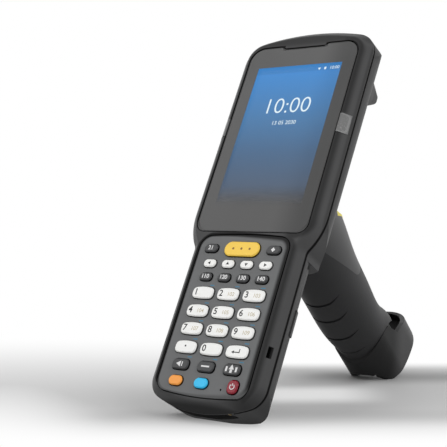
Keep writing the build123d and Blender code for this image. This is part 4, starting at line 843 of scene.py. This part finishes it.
class TERMINAL_OT_legends(Operator):
    """Prints numerals and plain marks on the keys"""

    bl_idname = "terminal.legends"
    bl_label = "Print legends"

    def execute(self, context):
        """Each print rides on its own key."""
        tones = context.scene.terminal_finishes
        inks = {
            "dark": moulding("dark_print", (0.012, 0.012, 0.014), 0.5, depth=0.0),
            "pale": moulding("pale_print", (0.80, 0.80, 0.80), 0.5, depth=0.0),
            "tan": moulding("tan_print", tones.letters, 0.5, depth=0.0),
            "brown": moulding("scan_print", (0.24, 0.12, 0.02), 0.5, depth=0.0),
            "blue": moulding("blue_print", tones.blue_marks, 0.5, depth=0.0),
        }
        for name, builder, ink in (*self.digit_prints(), *self.small_prints(), *self.lower_prints()):
            key = name.split(".")[0]
            piece("legend_" + name, builder, inks[ink], "key_" + key)
        piece("legend_plate_marks", self.plate_marks, inks["blue"], TERMINAL)
        return {"FINISHED"}

    @staticmethod
    def numeral(text, size, x, height, shear=0.0, weight=0.0, wide=1.0):
        """Builder of a numeral print, in millimetres."""
        return lambda shape: add_text(
            shape, text, size * MM, x * MM, height * MM, KEY_TOP - PRINT_SINK, shear, weight * MM, wide
        )

    def digit_prints(self):
        """Bold digits at the left of their keys, with paler marks beside them."""
        depth = KEY_TOP - PRINT_SINK
        prints = []
        for height, digits in DIGIT_ROWS:
            for column, digit in zip((-1, 0, 1), digits):
                x = column * WIDE_PITCH
                bold = self.numeral(digit, DIGIT_SIZE, x - DIGIT_OFF, height, PRINT_LEAN, PRINT_WEIGHT)
                prints.append((digit, bold, "dark"))
                if digit != "1":
                    second = self.numeral("10" + digit, 2.7, x + 1.9, height - 0.2, 0.0, 0.02)
                    prints.append((digit + ".second", second, "tan"))
        zero = self.numeral("0", DIGIT_SIZE, -DIGIT_OFF, 28.3, PRINT_LEAN, PRINT_WEIGHT)
        prints.append(("0", zero, "dark"))

        def dot(shape):
            """Square point."""
            add_bar(shape, -WIDE_PITCH * MM, 28.6 * MM, 0.8 * MM, 0.8 * MM, depth)

        prints.append(("dot", dot, "dark"))
        return prints

    def small_prints(self):
        """Arrows, numbers of the control row and the marks of the upper keys."""
        depth = KEY_TOP - PRINT_SINK
        prints = []
        turns = {"left": pi, "up": pi / 2, "down": -pi / 2, "right": 0.0}
        for column, (name, turn) in zip(NARROW_COLUMNS, turns.items()):
            prints.append((name, lambda s, x=column * NARROW_PITCH * MM, a=turn: add_wedge(
                s, x, ARROW_ROW * MM, 1.0 * MM, depth, a - pi / 2), "dark"))
        numbers = {"escape": "110", "tab": "120", "alt": "130", "control": "140"}
        for column, (name, text) in zip(NARROW_COLUMNS, numbers.items()):
            number = self.numeral(text, 2.8, column * NARROW_PITCH, CONTROL_ROW, PRINT_LEAN, PRINT_WEIGHT, 1.05)
            prints.append((name, number, "pale"))
        prints.append(("function", self.numeral("21", 3.0, -UPPER_SIDE, UPPER_ROW, 0.0, 0.06), "pale"))

        def star(shape):
            """Small diamond."""
            add_wedge(shape, UPPER_SIDE * MM, UPPER_ROW * MM, 1.15 * MM, depth, 0.0, 4)

        def dots(shape):
            """Three small marks across the scan key."""
            for x in (-4.6, 0.0, 4.6):
                add_wedge(shape, x * MM, UPPER_ROW * MM, 0.6 * MM, depth, 0.0, 10)

        prints.append(("star", star, "pale"))
        prints.append(("scan", dots, "brown"))
        return prints

    def lower_prints(self):
        """Marks of the entry, back, space, shift and power keys."""
        depth = KEY_TOP - PRINT_SINK
        wide = WIDE_PITCH * MM

        def bent_arrow(shape):
            """Bent arrow of an entry key."""
            add_bar(shape, wide, 27.9 * MM, 3.4 * MM, 0.45 * MM, depth)
            add_bar(shape, wide + 1.5 * MM, 28.8 * MM, 0.45 * MM, 1.6 * MM, depth)
            add_wedge(shape, wide - 1.8 * MM, 27.9 * MM, 0.9 * MM, depth, pi / 2)

        def back(shape):
            """Arrow with a stop."""
            add_wedge(shape, -wide - 0.5 * MM, LOWER_ROW * MM, 1.6 * MM, depth, pi / 2)
            add_bar(shape, -wide + 1.2 * MM, LOWER_ROW * MM, 0.5 * MM, 2.2 * MM, depth)

        def shift(shape):
            """Broad upward arrow between two bars."""
            add_wedge(shape, wide, 20.7 * MM, 1.55 * MM, depth, 0.0)
            add_bar(shape, wide, 19.1 * MM, 1.3 * MM, 1.5 * MM, depth)
            for side in (-1, 1):
                add_bar(shape, wide + side * 2.6 * MM, LOWER_ROW * MM, 1.0 * MM, 2.3 * MM, depth)

        def power(shape):
            """Open ring with a stroke."""
            add_ring(shape, 17.2 * MM, 12.3 * MM, 1.15 * MM, 0.36 * MM, depth, radians(290), radians(125))
            add_bar(shape, 17.2 * MM, 13.25 * MM, 0.36 * MM, 1.2 * MM, depth)

        return [
            ("enter", bent_arrow, "dark"),
            ("back", back, "pale"),
            ("space", lambda s: add_bar(s, 0.0, LOWER_ROW * MM, 4.4 * MM, 0.75 * MM, depth), "pale"),
            ("shift", shift, "pale"),
            ("power", power, "pale"),
        ]

    @staticmethod
    def plate_marks(shape):
        """Small blue strokes on the keypad plate above the digit keys."""
        depth = -PRINT_SINK
        for height in (59.3, 50.4, 41.5, 32.6, 23.9):
            for column in (-1, 0, 1):
                add_bar(shape, (column * WIDE_PITCH + 3.4) * MM, height * MM, 2.4 * MM, 0.5 * MM, depth)


class TERMINAL_OT_studio(Operator):
    """Sets floor, lights and camera"""

    bl_idname = "terminal.studio"
    bl_label = "Set studio"

    def execute(self, context):
        """Pale floor between white edges, soft lamps and the reader's view."""
        stage = context.scene.terminal_stage
        shape = bmesh.new()
        bmesh.ops.create_grid(shape, x_segments=2, y_segments=2, size=4.0)
        mesh = bpy.data.meshes.new("floor")
        shape.to_mesh(mesh)
        shape.free()
        floor = bpy.data.objects.new("floor", mesh)
        context.scene.collection.objects.link(floor)
        eye = CASE_ORIGIN + Vector(stage.eye)
        mesh.materials.append(self.floor_material(stage, eye))
        self.light_world(context.scene)
        for name, place, size, power in LAMPS:
            light = bpy.data.lights.new(name, "AREA")
            light.size, light.energy = size, power
            lamp = bpy.data.objects.new(name, light)
            lamp.location = place
            lamp.rotation_mode = "QUATERNION"
            lamp.rotation_quaternion = (LAMP_TARGET - Vector(place)).to_track_quat("-Z", "Y")
            context.scene.collection.objects.link(lamp)
        camera = bpy.data.objects.new("camera", bpy.data.cameras.new("camera"))
        camera.data.lens = stage.lens
        camera.data.sensor_width = 36.0
        camera.data.clip_start, camera.data.clip_end = 0.01, 20.0
        camera.location = eye
        camera.rotation_mode = "XYZ"
        camera.rotation_euler = (pi / 2 - stage.pitch, 0.0, stage.yaw)
        context.scene.collection.objects.link(camera)
        context.scene.camera = camera
        context.scene.view_settings.view_transform = "Standard"
        return {"FINISHED"}

    def floor_material(self, stage, eye):
        """Diffuse grey floor under the terminal, plain white in front, behind and at the sides, with a painted light
        patch and shadow streaks.
        """
        material, tree, shader = new_material("floor")
        shader.inputs["Roughness"].default_value = 0.6
        shader.inputs["Specular IOR Level"].default_value = 0.1
        away = Vector((-sin(stage.yaw), cos(stage.yaw), 0.0))
        aside = Vector((cos(stage.yaw), sin(stage.yaw), 0.0))
        place = tree.nodes.new("ShaderNodeTexCoord")
        reaches = []
        for direction in (away, aside):
            along = tree.nodes.new("ShaderNodeVectorMath")
            along.operation = "DOT_PRODUCT"
            tree.links.new(place.outputs["Object"], along.inputs[0])
            along.inputs[1].default_value = direction
            reaches.append(figure(tree, "SUBTRACT", along.outputs["Value"], eye.dot(direction)))
        reach, side = reaches
        near_end = ramped(tree, side, *NEAR_SIDES, *(stage.band_near + more for more in NEAR_REACH))
        near = ramped(tree, reach, stage.band_near, near_end, 1.0, 0.0)
        far_start = ramped(tree, side, *FAR_SIDES, *(stage.band_far - back for back in FAR_START))
        far_end = ramped(tree, side, *FAR_SIDES, stage.band_far + FAR_END[0], stage.band_far - FAR_END[1])
        far = ramped(tree, reach, far_start, far_end)
        # a painted patch of light between the case and the grip
        between = figure(tree, "MULTIPLY", ramped(tree, side, *PATCH_LEFT), ramped(tree, side, *PATCH_RIGHT))
        off = figure(tree, "ABSOLUTE", figure(tree, "SUBTRACT", reach, PATCH_MIDDLE))
        patch = figure(tree, "MULTIPLY", between, ramped(tree, off, *PATCH_REACH))
        # well to the sides the floor is as white as the wall
        aside_white = ramped(tree, figure(tree, "ABSOLUTE", side), *WHITE_ASIDE)
        white = darkest(tree, patch, near, far, aside_white)
        # two long soft streaks of painted shadow that the terminal's own shade runs out into
        streaks = []
        for middle, half, start, end, depth in STREAKS:
            off = figure(tree, "ABSOLUTE", figure(tree, "SUBTRACT", reach, middle))
            across = ramped(tree, off, 0.0, half, 1.0, 0.0)
            streaks.append(figure(tree, "MULTIPLY", across, ramped(tree, side, start, end, 0.0, depth)))
        shade = figure(tree, "MAXIMUM", *streaks)
        painted_shade_tone = tuple(STREAK_TONE * part for part in stage.floor)
        tint = mixed(tree, shade, (*stage.floor, 1.0), (*painted_shade_tone, 1.0))
        tree.links.new(tint, shader.inputs["Base Color"])
        glow = tree.nodes.new("ShaderNodeEmission")
        glow.inputs["Strength"].default_value = 1.0
        mix = tree.nodes.new("ShaderNodeMixShader")
        tree.links.new(figure(tree, "MULTIPLY", white, seen_directly(tree)), mix.inputs["Fac"])
        tree.links.new(shader.outputs["BSDF"], mix.inputs[1])
        tree.links.new(glow.outputs["Emission"], mix.inputs[2])
        tree.links.new(mix.outputs["Shader"], tree.nodes["Material Output"].inputs["Surface"])
        return material

    def light_world(self, scene):
        """White background for camera, gloss and glass, softer light for the object."""
        world = bpy.data.worlds.new("studio")
        scene.world = world
        world.use_nodes = True
        tree = world.node_tree
        backdrop = tree.nodes["Background"]
        backdrop.inputs["Color"].default_value = (1.0, 1.0, 1.0, 1.0)
        tree.links.new(figure(tree, "MULTIPLY_ADD", seen_directly(tree), 0.5, 0.5), backdrop.inputs["Strength"])


class TERMINAL_PT_sidebar(Panel):
    """Lists the settings and steps"""

    bl_idname = "TERMINAL_PT_sidebar"
    bl_label = "Data terminal"
    bl_space_type = "VIEW_3D"
    bl_region_type = "UI"
    bl_category = "Terminal"

    def draw(self, context):
        """Settings first, then the steps in order."""
        for group in (context.scene.terminal_finishes, context.scene.terminal_display,
                      context.scene.terminal_stage):
            box = self.layout.box()
            for name in group.__annotations__:
                box.prop(group, name)
        for step in STEPS:
            self.layout.operator(step.bl_idname)


STEPS = (TERMINAL_OT_mouldings, TERMINAL_OT_grip, TERMINAL_OT_keys, TERMINAL_OT_display, TERMINAL_OT_legends,
         TERMINAL_OT_studio)
SETTINGS = {"terminal_finishes": TerminalFinishes, "terminal_display": TerminalDisplay,
            "terminal_stage": TerminalStage}


def register():
    """Adds the settings, steps and panel."""
    for made in (*SETTINGS.values(), *STEPS, TERMINAL_PT_sidebar):
        bpy.utils.register_class(made)
    for name, group in SETTINGS.items():
        setattr(bpy.types.Scene, name, PointerProperty(type=group))


def unregister():
    """Takes them away again."""
    for name in SETTINGS:
        delattr(bpy.types.Scene, name)
    for made in reversed((*SETTINGS.values(), *STEPS, TERMINAL_PT_sidebar)):
        bpy.utils.unregister_class(made)


def main():
    """Runs every step."""
    register()
    bpy.ops.terminal.mouldings()
    bpy.ops.terminal.grip()
    bpy.ops.terminal.keys()
    bpy.ops.terminal.display()
    bpy.ops.terminal.legends()
    bpy.ops.terminal.studio()


if __name__ == "__main__":
    main()
